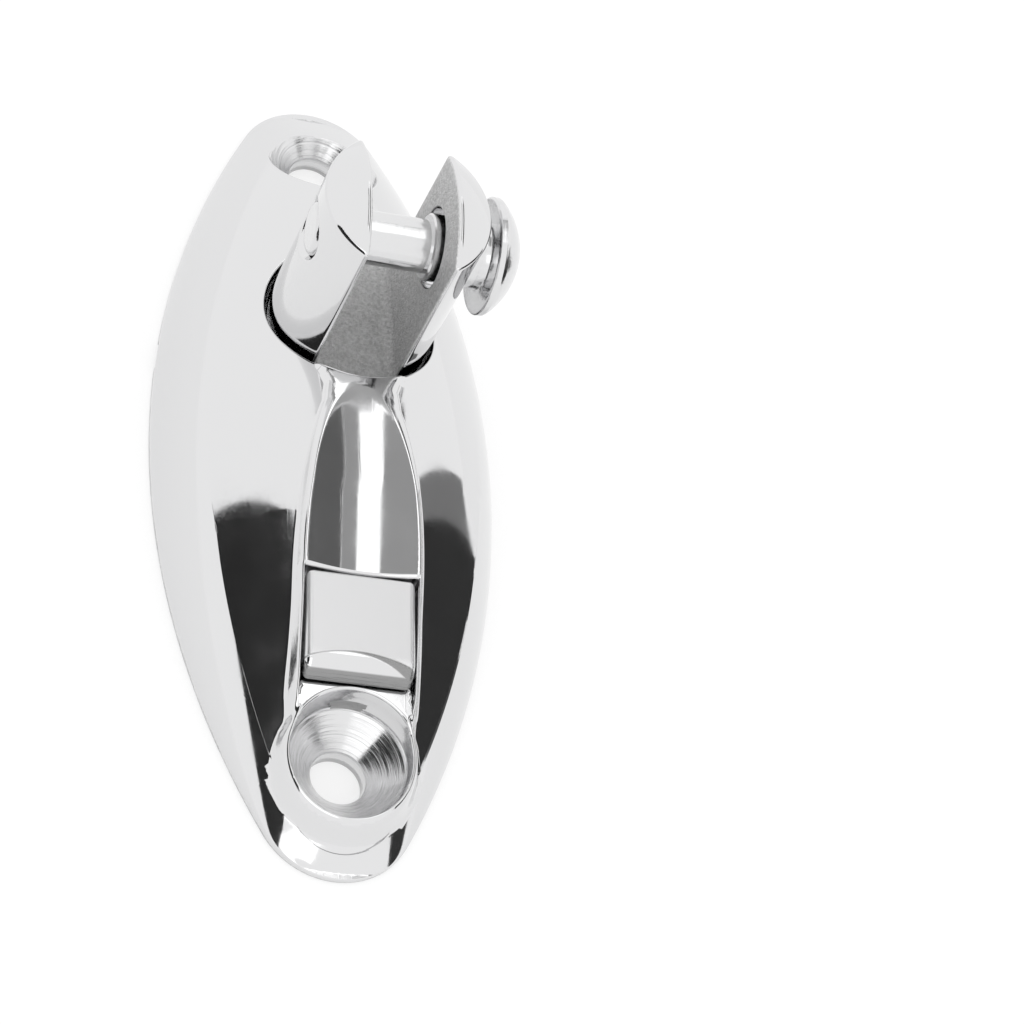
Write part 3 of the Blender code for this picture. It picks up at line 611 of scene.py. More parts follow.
def keep_clear(points):
    """Drops the fill points that lie too close to a loop or outside the outline."""
    x, y = points.T
    z = plain_top(x, y)
    inset = outline_inset(x, y)
    pocket = pocket_distance(x, y)
    keep = (inset > 2.6) | ((inset > 2.0) & (y < -45.0))
    keep &= socket_distance(x, y, z) > SOCKET_CLEARANCE
    keep &= mouth_distance(x, y, z, HEAD_SCREW_Y) > MOUTH_CLEARANCE
    keep &= mouth_distance(x, y, z, FOOT_SCREW_Y) > MOUTH_CLEARANCE
    keep &= ~((pocket < 0.75) & (pocket > -0.3) & (y > POCKET_FOOT_Y))
    return points[keep]


def base_plan():
    """All plan points of the top with the loops that bound it, as index lists."""
    angles = full_turn(ROUND_STEPS)
    points = []
    loops = {}
    edges = []

    def add(name, loop, closed):
        first = sum(len(part) for part in points)
        points.append(loop)
        index = list(range(first, first + len(loop)))
        edges.extend(zip(index, index[1:]))
        if closed:
            edges.append((index[-1], index[0]))
        loops[name] = index

    add("outline", outline_loop(OUTLINE_STEPS, 0.0), True)
    for inset in OUTLINE_INSETS:
        add(f"outline_{inset}", outline_loop(OUTLINE_STEPS, inset), True)
    for offset in (0.0,) + RIM_OFFSETS:
        add(f"socket_{offset}", rim_loop(FORK_Y, socket_radius_at, angles, offset), True)
        add(f"head_{offset}", rim_loop(HEAD_SCREW_Y, mouth_radius_at, angles, offset), True)
    add("foot_0.0", rim_loop(FOOT_SCREW_Y, mouth_radius_at, foot_angles(), 0.0), True)
    add("wall", wall_line(0.0), False)
    for offset in RIM_OFFSETS:
        ring = rim_loop(FOOT_SCREW_Y, mouth_radius_at, foot_angles(), offset)
        line = wall_line(offset)
        points.append(ring[np.abs(pocket_distance(*ring.T)) > 0.03])
        away = mouth_distance(*line.T, plain_top(*line.T), FOOT_SCREW_Y)
        points.append(line[away > 0.03])
    points.append(keep_clear(fill_points()))
    points.append(shelf_end_points())
    return np.vstack(points), edges, loops


def triangulate(points, edges):
    """Delaunay triangles of the plan, with the index of each input point in the result."""
    result = delaunay_2d_cdt([Vector((float(x), float(y))) for x, y in points], edges, [], 0, 1e-4)
    spots = np.array([tuple(spot) for spot in result[0]])
    place = {}
    for index, sources in enumerate(result[3]):
        for source in sources:
            place[source] = index
    return spots, [tuple(face) for face in result[2]], place


# ---- mesh helpers

class Shell:
    """Vertices in millimetres and faces, gathered before they become one mesh."""

    def __init__(self):
        self.spots = []
        self.faces = []

    def add(self, spots):
        """Adds vertices and returns their numbers."""
        first = len(self.spots)
        self.spots.extend([tuple(float(value) for value in spot) for spot in spots])
        return list(range(first, first + len(spots)))

    def next_ring(self, upper, radius, angle, centre_y, z):
        """A ring of vertices at the given heights, joined to the ring above it."""
        plan = turned(radius, angle, centre_y)
        ring = self.add(np.column_stack([plan, np.broadcast_to(z, len(angle))]))
        self.band(upper, ring)
        return ring

    def band(self, upper, lower, closed=True):
        """Quads between two rows of vertices."""
        count = len(upper)
        for index in range(count if closed else count - 1):
            after = (index + 1) % count
            self.faces.append((upper[index], upper[after], lower[after], lower[index]))


def finished_mesh(name, spots, faces):
    """A mesh in metres with doubles welded, collapsed faces gone and normals outward."""
    mesh = bpy.data.meshes.new(name)
    mesh.from_pydata([tuple(value * MM for value in spot) for spot in spots], [], faces)
    work = bmesh.new()
    work.from_mesh(mesh)
    bmesh.ops.remove_doubles(work, verts=work.verts, dist=0.002 * MM)
    bmesh.ops.dissolve_degenerate(work, edges=work.edges, dist=0.0005 * MM)
    bmesh.ops.recalc_face_normals(work, faces=work.faces)
    work.to_mesh(mesh)
    work.free()
    return mesh


def add_object(name, mesh):
    """An object for a mesh, in the scene."""
    obj = bpy.data.objects.new(name, mesh)
    bpy.context.scene.collection.objects.link(obj)
    return obj


def smooth_object(name, shell, sharp_angle):
    """A smooth object from a shell, with edges above an angle in degrees left sharp."""
    mesh = finished_mesh(name, shell.spots, shell.faces)
    mesh.shade_smooth()
    mesh.set_sharp_from_angle(angle=math.radians(sharp_angle))
    return add_object(name, mesh)


def prism(outline, low, high):
    """A mesh between two heights over a plan outline."""
    shell = Shell()
    top = shell.add([(x, y, high) for x, y in outline])
    bottom = shell.add([(x, y, low) for x, y in outline])
    shell.band(top, bottom)
    shell.faces.append(tuple(top))
    shell.faces.append(tuple(reversed(bottom)))
    return finished_mesh("cutter", shell.spots, shell.faces)


def box(half, foot_y, head_y, low, high, centre_x=0.0):
    """A block between two heights."""
    left = centre_x - half
    right = centre_x + half
    return prism([(left, foot_y), (right, foot_y), (right, head_y), (left, head_y)], low, high)


def rounded_rectangle(half, foot_y, head_y, corner):
    """Plan of a plate with round corners."""
    x = half - corner
    points = []
    for start, side, y in ((-90, x, foot_y + corner), (0, x, head_y - corner),
                           (90, -x, head_y - corner), (180, -x, foot_y + corner)):
        points += arc((side, y), corner, start, start + 90, 8)
    return points


def carve(obj, meshes, operation="DIFFERENCE"):
    """Cuts meshes out of an object (or joins them to it) and applies the result."""
    helpers = []
    for mesh in meshes:
        helper = add_object("cutter", mesh)
        helpers.append(helper)
        boolean = obj.modifiers.new("cut", "BOOLEAN")
        boolean.operation = operation
        boolean.solver = "MANIFOLD"
        boolean.object = helper
    bpy.context.view_layer.update()
    graph = bpy.context.evaluated_depsgraph_get()
    made = bpy.data.meshes.new_from_object(obj.evaluated_get(graph))
    obj.modifiers.clear()
    obj.data = made
    for helper in helpers:
        bpy.data.objects.remove(helper)


# ---- base casting

def hole_profile_heights():
    """Heights down a deck screw hole, close together on the machined cone."""
    cone = np.linspace(SEAT_Z, SCREW_LAND, 22)
    return [11.0, 10.0, 9.4, MOUTH_Z, 8.2, 7.4, 6.6] + list(cone) + [1.2, 0.0]


def cone_ripple(z):
    """Turning marks on the cone: shallow rings."""
    inside = (z < SEAT_Z - 0.1) & (z > SCREW_LAND + 0.1)
    return np.where(inside, 0.010 * np.sin(z * 9.0) + 0.006 * np.sin(z * 17.0 + 1.0), 0.0)


def add_screw_hole(shell, rim, centre_y):
    """The wall of a deck screw hole from its rim down; returns its bottom ring."""
    spots = np.array([shell.spots[index] for index in rim])
    angle = np.arctan2(spots[:, 1] - centre_y, spots[:, 0])
    rim_radius = np.hypot(spots[:, 0], spots[:, 1] - centre_y)
    for number, level in enumerate(hole_profile_heights()):
        z = np.maximum(np.minimum(level, spots[:, 2] - 0.03 * (number + 1)), 0.0)
        radius = np.minimum(mouth_radius_at(z) + cone_ripple(z), rim_radius + 0.01)
        rim = shell.next_ring(rim, radius, angle, centre_y, z)
    return rim


def add_socket(shell, rim):
    """The bowl from its rim down to the blind end of the stem's hole."""
    spots = np.array([shell.spots[index] for index in rim])
    angle = np.arctan2(spots[:, 1] - FORK_Y, spots[:, 0])
    for share in (0.03, 0.1, 0.2, 0.32, 0.45, 0.58, 0.7, 0.8, 0.9, 1.0):
        z = spots[:, 2] + (SOCKET_FLOOR_Z - spots[:, 2]) * share
        rim = shell.next_ring(rim, socket_radius_at(z), angle, FORK_Y, z)
    for z in (SOCKET_FLOOR_Z, CHANNEL_ROOF_Z - 1.0):
        rim = shell.next_ring(rim, STEM_RADIUS + GAP, angle, FORK_Y, z)
    shell.faces.append(tuple(rim))


def faces_outside(faces, holes):
    """The faces that don't close one of the holes, given as sets of corners."""
    return [face for face in faces if not any(hole.issuperset(face) for hole in holes)]


def add_underside(shell, outline, head_ring, foot_ring):
    """The flat bottom between the outline and the two screw holes."""
    points = []
    edges = []
    numbers = []
    for row in (outline, head_ring, foot_ring):
        first = len(points)
        points += [shell.spots[index][:2] for index in row]
        numbers += row
        edges += [(first + k, first + (k + 1) % len(row)) for k in range(len(row))]
    _, faces, place = triangulate(np.array(points), edges)
    back = {value: numbers[key] for key, value in place.items()}
    corners = [tuple(back[index] for index in face) for face in faces]
    shell.faces += faces_outside(corners, [set(head_ring), set(foot_ring)])


def base_shell():
    """The casting as one closed solid, before the cuts in its underside."""
    points, edges, loops = base_plan()
    spots, faces, place = triangulate(points, edges)
    loops = {name: [place[index] for index in loop] for name, loop in loops.items()}
    faces = faces_outside(faces, [set(loops[name]) for name in ("socket_0.0", "head_0.0", "foot_0.0")])
    x, y = spots.T
    shell = Shell()
    top = shell.add(np.stack([x, y, top_surface(x, y)], axis=1))
    shelf = shell.add(np.stack([x, y, pocket_surface(x, y)], axis=1))
    centres = np.array([spots[list(face)].mean(axis=0) for face in faces])
    in_pocket = (pocket_distance(*centres.T) < 0) & (centres[:, 1] > FOOT_SCREW_Y)
    for face, pocket in zip(faces, in_pocket):
        shell.faces.append(tuple((shelf if pocket else top)[index] for index in face))
    wall = loops["wall"]
    shell.band([top[index] for index in wall], [shelf[index] for index in wall], closed=False)
    add_socket(shell, [top[index] for index in loops["socket_0.0"]])
    head = add_screw_hole(shell, [top[index] for index in loops["head_0.0"]], HEAD_SCREW_Y)
    on_shelf = (pocket_distance(x, y) < -0.001) & (y > FOOT_SCREW_Y)
    rim = [(shelf if on_shelf[index] else top)[index] for index in loops["foot_0.0"]]
    foot = add_screw_hole(shell, rim, FOOT_SCREW_Y)
    upper = [top[index] for index in loops["outline"]]
    for inset, z in ((0.0, 0.15), (0.15, 0.0)):
        ring = shell.add([(px, py, z) for px, py in outline_loop(OUTLINE_STEPS, inset)])
        shell.band(upper, ring)
        upper = ring
    add_underside(shell, upper, head, foot)
    return shell


def underside_cutters():
    """Cover recess, latch channel, spring room, post slot, thread holes and drain notches."""
    channel = LATCH_HALF_WIDTH + GAP
    outline = [(channel, CHANNEL_TAIL_Y)] + arc((0.0, FORK_Y), channel, 0, 180, 32)
    cutters = [
        prism(rounded_rectangle(COVER_HALF_WIDTH + GAP, COVER_FOOT_Y - GAP, COVER_HEAD_Y + GAP,
                                COVER_CORNER), -1.0, COVER_TOP_Z + GAP),
        prism(outline + [(-channel, CHANNEL_TAIL_Y)], COVER_TOP_Z, CHANNEL_ROOF_Z),
        box(WINDOW_HALF_WIDTH + GAP, WINDOW_FOOT_Y - 1.0, WINDOW_HEAD_Y + 1.0, 5.0, SPRING_ROOM_Z),
        box(POST_HALF_WIDTH + GAP, POST_FOOT_Y - LATCH_TRAVEL - GAP, POST_HEAD_Y + GAP, 5.0,
            POCKET_FLOOR_Z + 1.0),
    ]
    for x, y in COVER_SCREWS:
        cutters.append(prism(arc((x, y), COVER_THREAD_RADIUS, 0, 348.75, 31),
                             COVER_TOP_Z - 0.2, COVER_THREAD_TOP_Z))
    for centre_x in (-BASE_HALF_WIDTH, BASE_HALF_WIDTH):
        cutters.append(box(DRAIN_DEPTH, FORK_Y - DRAIN_HALF_LENGTH, FORK_Y + DRAIN_HALF_LENGTH,
                           -1.0, DRAIN_HEIGHT, centre_x))
    return cutters


def set_top_normals(mesh):
    """Exact normals on the domed top, so that it mirrors without facets."""
    spots = np.array([vertex.co for vertex in mesh.vertices], dtype=float) / MM
    x, y, z = spots.T
    plain = plain_top(x, y)
    on_top = (np.abs(top_surface(x, y) - z) < 0.003) & (z > EDGE_HEIGHT + 0.01)
    on_top &= socket_distance(x, y, plain) > 0.01
    for centre_y in (HEAD_SCREW_Y, FOOT_SCREW_Y):
        on_top &= mouth_distance(x, y, plain, centre_y) > 0.01
    on_top &= (pocket_distance(x, y) > 0.01) | (y < POCKET_FOOT_Y)
    normals = np.zeros_like(spots)
    normals[on_top] = unit_slopes(lambda x, y, z: z - top_surface(x, y), spots[on_top])
    mesh.shade_smooth()
    mesh.set_sharp_from_angle(angle=math.radians(BASE_SHARP_ANGLE))
    mesh.normals_split_custom_set_from_vertices(normals.tolist())


def make_base():
    """The casting that stands for base_casting."""
    shell = base_shell()
    base = add_object("base_body", finished_mesh("base_body", shell.spots, shell.faces))
    carve(base, underside_cutters())
    carve(base, [box(LUG_HALF_WIDTH, LUG_FOOT_Y, LUG_HEAD_Y, LUG_BOTTOM_Z, LUG_TOP_Z)], "UNION")
    set_top_normals(base.data)
    return base


# ---- rounded solids from distances

def round_and(first, second, radius):
    """What lies inside both surfaces, with a rounded edge where they meet."""
    corner = np.hypot(np.maximum(first + radius, 0.0), np.maximum(second + radius, 0.0))
    return np.minimum(np.maximum(first, second), -radius) + corner


def gradient(field, spots):
    """Slope of a field at some points."""
    step = 0.004
    slopes = np.empty_like(spots)
    for axis in range(3):
        ahead = spots.copy()
        behind = spots.copy()
        ahead[:, axis] += step
        behind[:, axis] -= step
        slopes[:, axis] = (field(*ahead.T) - field(*behind.T)) / (2 * step)
    return slopes


def unit_slopes(field, spots):
    """The normals of a field's surface at some points."""
    slopes = gradient(field, spots)
    return slopes / np.linalg.norm(slopes, axis=1)[:, None]


CELL_CORNERS = list(np.ndindex(2, 2, 2))


def cell_crossings(values, cells, low, step):
    """Mean of the points where the edges of each cell cross the surface."""
    total = np.zeros((len(cells), 3))
    count = np.zeros(len(cells))
    for number, first in enumerate(CELL_CORNERS):
        for second in CELL_CORNERS[number + 1:]:
            if sum(abs(a - b) for a, b in zip(first, second)) != 1:
                continue
            at_first = values[tuple((cells + first).T)]
            at_second = values[tuple((cells + second).T)]
            crossing = (at_first < 0) != (at_second < 0)
            gap = np.where(crossing, at_first - at_second, 1.0)
            share = np.where(crossing, at_first / gap, 0.0)[:, None]
            spot = cells + np.array(first) + share * (np.array(second) - np.array(first))
            total += np.where(crossing[:, None], spot, 0.0)
            count += crossing
    return np.array(low) + step * total / count[:, None]


def surface_from_field(field, low, high, step):
    """Points and quads of the surface where the field is zero, on a grid of that step."""
    axes = [np.arange(a, b + step, step) for a, b in zip(low, high)]
    values = field(*np.meshgrid(*axes, indexing="ij"))
    inside = values < 0
    parts = [inside[tuple(slice(shift, size - 1 + shift) for shift, size in zip(corner, inside.shape))]
             for corner in CELL_CORNERS]
    active = np.any(parts, axis=0) & ~np.all(parts, axis=0)
    cells = np.argwhere(active)
    number = np.full(active.shape, -1, dtype=np.int64)
    number[active] = np.arange(len(cells))
    spots = cell_crossings(values, cells, low, step)
    for _ in range(4):
        slopes = gradient(field, spots)
        size = np.maximum((slopes ** 2).sum(axis=1), 0.05)
        move = (field(*spots.T) / size)[:, None] * slopes
        spots = spots - np.clip(move, -step, step)
    quads = []
    for axis in range(3):
        ahead = np.take(inside, range(1, inside.shape[axis]), axis=axis)
        here = np.take(inside, range(inside.shape[axis] - 1), axis=axis)
        crossing = np.argwhere(ahead != here)
        others = [other for other in range(3) if other != axis]
        crossing = crossing[(crossing[:, others[0]] > 0) & (crossing[:, others[1]] > 0)]
        ring = []
        for shift_a, shift_b in ((0, 0), (-1, 0), (-1, -1), (0, -1)):
            cell = crossing.copy()
            cell[:, others[0]] += shift_a
            cell[:, others[1]] += shift_b
            ring.append(number[tuple(cell.T)])
        ring = np.stack(ring, axis=1)
        flip = here[tuple(crossing.T)] == (axis == 1)
        ring[flip] = ring[flip, ::-1]
        quads.append(ring)
    return spots, np.vstack(quads)


def solid_from_field(name, field, low, high, step):
    """An object of the surface where the field is zero, with the field's own normals."""
    spots, quads = surface_from_field(field, low, high, step)
    mesh = bpy.data.meshes.new(name)
    mesh.from_pydata((spots * MM).tolist(), [], quads.tolist())
    mesh.shade_smooth()
    mesh.normals_split_custom_set_from_vertices(unit_slopes(field, spots).tolist())
    return add_object(name, mesh)


# ---- swivel fork

def slot_half_width(z):
    """The slot between the ears, with a little casting draft."""
    return SLOT_HALF_WIDTH + SLOT_DRAFT * (z - SLOT_FLOOR_Z)


def fork_field(x, y, z):
    """Distance from the fork's surface, negative inside."""
    radius = np.hypot(x, y - FORK_Y)
    barrel = np.hypot(radius, np.minimum(z - BALL_Z, 0.0)) - FORK_RADIUS
    dome = np.hypot(radius, z - (EAR_TOP_Z - EAR_DOME_RADIUS)) - EAR_DOME_RADIUS
    body = round_and(barrel, dome, FORK_CROWN_ROUND)
    slot = round_and(np.abs(x) - slot_half_width(z), SLOT_FLOOR_Z - z, SLOT_FILLET)
    body = round_and(body, -slot, EAR_EDGE_ROUND)
    body = round_and(body, BALL_FLAT_Z - z, FORK_FOOT_ROUND)
    across = np.hypot(y - FORK_Y, z - PIN_Z)
    flare = np.maximum(LEFT_FLARE_X - x, 0.0) * LEFT_FLARE_SLOPE
    left = np.maximum(across - LEFT_HOLE_RADIUS - flare, x)
    right = np.maximum(across - RIGHT_HOLE_RADIUS, -x)
    body = round_and(body, -left, HOLE_EDGE_ROUND)
    body = round_and(body, -right, HOLE_EDGE_ROUND)
    shaft = np.maximum(np.maximum(radius - STEM_RADIUS, STEM_END_Z - z), z - SLOT_FLOOR_Z + 2.0)
    neck = np.maximum(STEM_NECK_RADIUS - radius,
                      np.maximum(z - STEM_NECK_TOP_Z, STEM_NECK_BOTTOM_Z - z))
    return np.minimum(body, np.maximum(shaft, -neck))


def make_fork():
    """The fork that stands for swivel_fork."""
    reach = FORK_RADIUS + 0.5
    low = (-reach, FORK_Y - reach, STEM_END_Z - 0.5)
    high = (reach, FORK_Y + reach, EAR_TOP_Z + 0.5)
    return solid_from_field("fork_body", fork_field, low, high, FORK_STEP)


# ---- clevis pin

def lathe(name, profile, centre, steps):
    """A solid turned about X through a centre, from (x, radius) points between two on the axis."""
    shell = Shell()
    angles = full_turn(steps)
    first = shell.add([(profile[0][0], centre[1], centre[2])])[0]
    last = shell.add([(profile[-1][0], centre[1], centre[2])])[0]
    rings = []
    for x, radius in profile[1:-1]:
        rings.append(shell.add([(x, centre[1] + radius * math.cos(a), centre[2] + radius * math.sin(a))
                                for a in angles]))
    for index in range(steps):
        after = (index + 1) % steps
        shell.faces.append((first, rings[0][index], rings[0][after]))
        shell.faces.append((last, rings[-1][after], rings[-1][index]))
    for upper, lower in zip(rings, rings[1:]):
        shell.band(upper, lower)
    return smooth_object(name, shell, PIN_SHARP_ANGLE)


def pin_profile():
    """(x, radius) from the tip to the top of the head."""
    rim_x = PIN_HEAD_X + PIN_HEAD_RIM
    rise = PIN_HEAD_HEIGHT - PIN_HEAD_RIM
    edge = PIN_HEAD_RADIUS
    dome = (edge ** 2 + rise ** 2) / (2 * rise)
    start = math.degrees(math.asin(edge / dome))
    profile = [(PIN_TIP_X, 0.0), (PIN_TIP_X, 1.2), (PIN_TIP_X, 2.3)]
    profile += [(x, r) for r, x in arc((PIN_RADIUS - 0.7, PIN_TIP_X + 0.7), 0.7, -90, 0, 5)]
    profile += [(x, PIN_RADIUS) for x in np.linspace(PIN_TIP_X + 1.2, PIN_SHOULDER_X - 0.3, 12)]
    profile += [(PIN_SHOULDER_X, PIN_RADIUS), (PIN_SHOULDER_X, PIN_SHOULDER_RADIUS - 0.2)]
    profile += [(PIN_SHOULDER_X + 0.2, PIN_SHOULDER_RADIUS)]
    profile += [(x, PIN_SHOULDER_RADIUS) for x in np.linspace(5.0, PIN_HEAD_X - 0.25, 8)]
    profile += [(PIN_HEAD_X - 0.1, PIN_SHOULDER_RADIUS + 0.06),
                (PIN_HEAD_X, PIN_SHOULDER_RADIUS + 0.25)]
    profile += [(PIN_HEAD_X, r) for r in np.linspace(4.6, edge - 0.28, 8)]
    profile += [(PIN_HEAD_X + 0.05, edge - 0.12), (PIN_HEAD_X + 0.17, edge)]
    profile += [(PIN_HEAD_X + 0.45, edge), (rim_x - 0.1, edge), (rim_x, edge - 0.08)]
    for angle in np.linspace(start - 1.5, 0.0, 24)[:-1]:
        turn = math.radians(angle)
        profile.append((rim_x + rise - dome + dome * math.cos(turn), dome * math.sin(turn)))
    return profile + [(rim_x + rise, 0.0)]


def make_pin():
    """The pin that stands for clevis_pin."""
    return lathe("pin_body", pin_profile(), (0.0, FORK_Y, PIN_Z), PIN_STEPS)


# ---- latch button

def button_field(x, y, z):
    """Distance from the button's surface, negative inside."""
    top = z - BUTTON_HEAD_Z - BUTTON_SLOPE * (y - BUTTON_HEAD_Y)
    nose = BUTTON_FOOT_Y - y
    side_view = round_and(top, nose, BUTTON_NOSE_ROUND)
    side_view = round_and(side_view, y - BUTTON_HEAD_Y, BUTTON_HEAD_ROUND)
    head = round_and(side_view, np.abs(x) - BUTTON_HALF_WIDTH, BUTTON_SIDE_ROUND)
    head = round_and(head, BUTTON_UNDER_Z - z, BUTTON_UNDER_ROUND)
    post = np.maximum(np.abs(x) - POST_HALF_WIDTH,
                      np.maximum(y - POST_HEAD_Y, POST_FOOT_Y - y))
    post = np.maximum(post, np.maximum(POST_UNDER_Z - z, z - BUTTON_UNDER_Z - 1.0))
    thread = np.hypot(x, y - (POST_HEAD_Y + POST_FOOT_Y) / 2) - COVER_THREAD_RADIUS
    thread = np.maximum(thread, z - PLATE_SCREW_TOP_Z - GAP)
    return np.maximum(np.minimum(head, post), -thread)


def make_button():
    """The button that stands for latch_button."""
    low = (-BUTTON_HALF_WIDTH - 0.4, BUTTON_FOOT_Y - 0.4, POST_UNDER_Z - 0.4)
    high = (BUTTON_HALF_WIDTH + 0.4, BUTTON_HEAD_Y + 0.4, BUTTON_HEAD_Z + 0.4)
    return solid_from_field("button_body", button_field, low, high, BUTTON_STEP)


# ---- return spring

def make_spring():
    """The coil spring that stands for latch_spring."""
    shell = Shell()
    pitch = (SPRING_HEAD_Y - SPRING_FOOT_Y) / (SPRING_TURNS * math.tau)
    rings = []
    for angle in math.tau * np.arange(SPRING_TURNS * SPRING_STEPS + 1) / SPRING_STEPS:
        outward = np.array([math.cos(angle), 0.0, math.sin(angle)])
        forward = np.array([-SPRING_MEAN_RADIUS * outward[2], pitch, SPRING_MEAN_RADIUS * outward[0]])
        sideways = np.cross(forward / np.linalg.norm(forward), outward)
        middle = SPRING_MEAN_RADIUS * outward + (0.0, SPRING_FOOT_Y + pitch * angle, SPRING_Z)
        rings.append(shell.add([middle + SPRING_WIRE_RADIUS * (math.cos(t) * outward
                                                               + math.sin(t) * sideways)
                                for t in full_turn(WIRE_STEPS)]))
    for ring, after in zip(rings, rings[1:]):
        shell.band(ring, after)
    shell.faces += [tuple(rings[0]), tuple(rings[-1])]
    return smooth_object("spring_coil", shell, SPRING_SHARP_ANGLE)


# ---- materials

class Nodes:
    """A material's node tree with short ways to add and join nodes."""

    def __init__(self, name, colour, roughness, metallic=1.0):
        self.material = bpy.data.materials.new(name)
        self.material.use_nodes = True
        self.tree = self.material.node_tree
        self.shader = self.tree.nodes["Principled BSDF"]
        self.shader.inputs["Base Color"].default_value = (*colour, 1.0)
        self.shader.inputs["Roughness"].default_value = roughness
        self.shader.inputs["Metallic"].default_value = metallic
        self.place = self.add("TexCoord").outputs["Object"]

    def add(self, kind, **inputs):
        """A shader node with its inputs set or joined."""
        node = self.tree.nodes.new("ShaderNode" + kind)
        for name, value in inputs.items():
            self.fill(node.inputs[name.replace("_", " ")], value)
        return node

    def fill(self, socket, value):
        """Sets an input to a plain value or joins it to an output."""
        if isinstance(value, bpy.types.NodeSocket):
            self.tree.links.new(value, socket)
        else:
            socket.default_value = value

    def finish(self, roughness, normal, colour=None):
        """Joins outputs to the shader and returns the material."""
        self.fill(self.shader.inputs["Roughness"], roughness)
        self.fill(self.shader.inputs["Normal"], normal)
        if colour is not None:
            self.fill(self.shader.inputs["Base Color"], colour)
        return self.material

    def scaled(self, scale=(1.0, 1.0, 1.0), shift=(0.0, 0.0, 0.0), turn=(0.0, 0.0, 0.0)):
        """Object coordinates, shifted, turned and stretched."""
        node = self.add("Mapping", Vector=self.place, Location=shift, Rotation=turn, Scale=scale)
        return node.outputs["Vector"]

    def noise(self, vector, scale, detail=3.0, roughness=0.55):
        """A noise value."""
        node = self.add("TexNoise", Vector=vector, Scale=scale, Detail=detail, Roughness=roughness)
        return node.outputs["Fac"]

    def math(self, operation, first, second=0.0):
        """Arithmetic on two sockets or numbers."""
        node = self.add("Math")
        node.operation = operation
        self.fill(node.inputs[0], first)
        self.fill(node.inputs[1], second)
        return node.outputs["Value"]

    def times(self, first, second):
        """A product."""
        return self.math("MULTIPLY", first, second)

    def plus(self, first, second):
        """A sum."""
        return self.math("ADD", first, second)

    def remap(self, value, low, high, to_low, to_high):
        """A value carried from one range to another, clamped."""
        return self.add("MapRange", Value=value, From_Min=low, From_Max=high, To_Min=to_low,
                        To_Max=to_high).outputs["Result"]

    def step(self, value, low, high, to_low=0.0, to_high=1.0):
        """A smooth step between two values given in millimetres."""
        result = self.remap(value, low * MM, high * MM, to_low, to_high)
        result.node.interpolation_type = "SMOOTHSTEP"
        return result

    def split(self, vector):
        """The X, Y and Z of a vector."""
        return self.add("SeparateXYZ", Vector=vector).outputs

    def mix(self, share, first, second):
        """A colour between two colours, each plain or a socket."""
        node = self.add("Mix")
        node.data_type = "RGBA"
        self.fill(node.inputs["Factor"], share)
        for name, colour in (("A", first), ("B", second)):
            self.fill(node.inputs[name], (*colour, 1.0) if isinstance(colour, tuple) else colour)
        return node.outputs["Result"]

    def bump(self, height, distance, strength=1.0, before=None):
        """A bump from a height in units of distance, in metres."""
        node = self.add("Bump", Height=height, Distance=distance, Strength=strength)
        if before is not None:
            self.fill(node.inputs["Normal"], before)
        return node.outputs["Normal"]


def scratches(nodes, turn, density, stretch):
    """Fine straight scratches: thin ridges of a stretched noise."""
    value = nodes.noise(nodes.scaled(stretch, turn=turn), density, 2.0, 0.5)
    away = nodes.math("ABSOLUTE", nodes.math("SUBTRACT", value, 0.5))
    return nodes.remap(away, 0.0, 0.012, 1.0, 0.0)


def polished_steel(name):
    """Mirror-polished cast stainless: slight waves, fine scratches and a light haze."""
    nodes = Nodes(name, STEEL, 0.07)
    haze = nodes.noise(nodes.scaled(), 210.0, 4.0, 0.6)
    fine = nodes.noise(nodes.scaled(shift=(0.3, 0.1, 0.2)), 2600.0, 2.0)
    mixed = nodes.plus(nodes.times(haze, 0.7), nodes.times(fine, 0.3))
    waves = nodes.noise(nodes.scaled(shift=(0.1, 0.2, 0.3)), 70.0, 1.0)
    normal = nodes.bump(waves, 0.00003)
    for turn, density, length, depth in (((0.0, 0.0, 0.5), 260.0, 0.06, 0.0000012),
                                         ((0.3, 0.0, -0.9), 230.0, 0.05, 0.0000010)):
        normal = nodes.bump(scratches(nodes, turn, density, (1.0, length, 1.0)), depth, 0.5, normal)
    return nodes.finish(nodes.remap(mixed, 0.35, 0.65, 0.045, 0.12), normal)


def machined_steel(name, centre_y):
    """The turned walls of a deck screw hole: rings round its axis and bright glints."""
    nodes = Nodes(name, STEEL, 0.16)
    centred = nodes.scaled(shift=(0.0, -centre_y * MM, 0.0))
    x, y, z = nodes.split(centred)
    radius = nodes.math("SQRT", nodes.plus(nodes.times(x, x), nodes.times(y, y)))
    turned_place = nodes.add("CombineXYZ", X=radius, Y=z).outputs["Vector"]
    rings = nodes.noise(turned_place, 2600.0, 3.0, 0.7)
    uneven = nodes.noise(centred, 420.0, 3.0)
    height = nodes.plus(rings, nodes.times(uneven, 0.25))
    return nodes.finish(nodes.remap(uneven, 0.3, 0.7, 0.1, 0.26), nodes.bump(height, 0.00006))


def blasted_steel(name):
    """Unpolished cast surface: matte and granular."""
    nodes = Nodes(name, BLASTED, 0.5)
    grain = nodes.noise(nodes.scaled(), 2300.0, 4.0, 0.75)
    patches = nodes.noise(nodes.scaled(shift=(0.4, 0.2, 0.0)), 260.0, 3.0)
    colour = nodes.mix(patches, tuple(0.86 * c for c in BLASTED), BLASTED)
    return nodes.finish(0.5, nodes.bump(grain, 0.00022), colour)


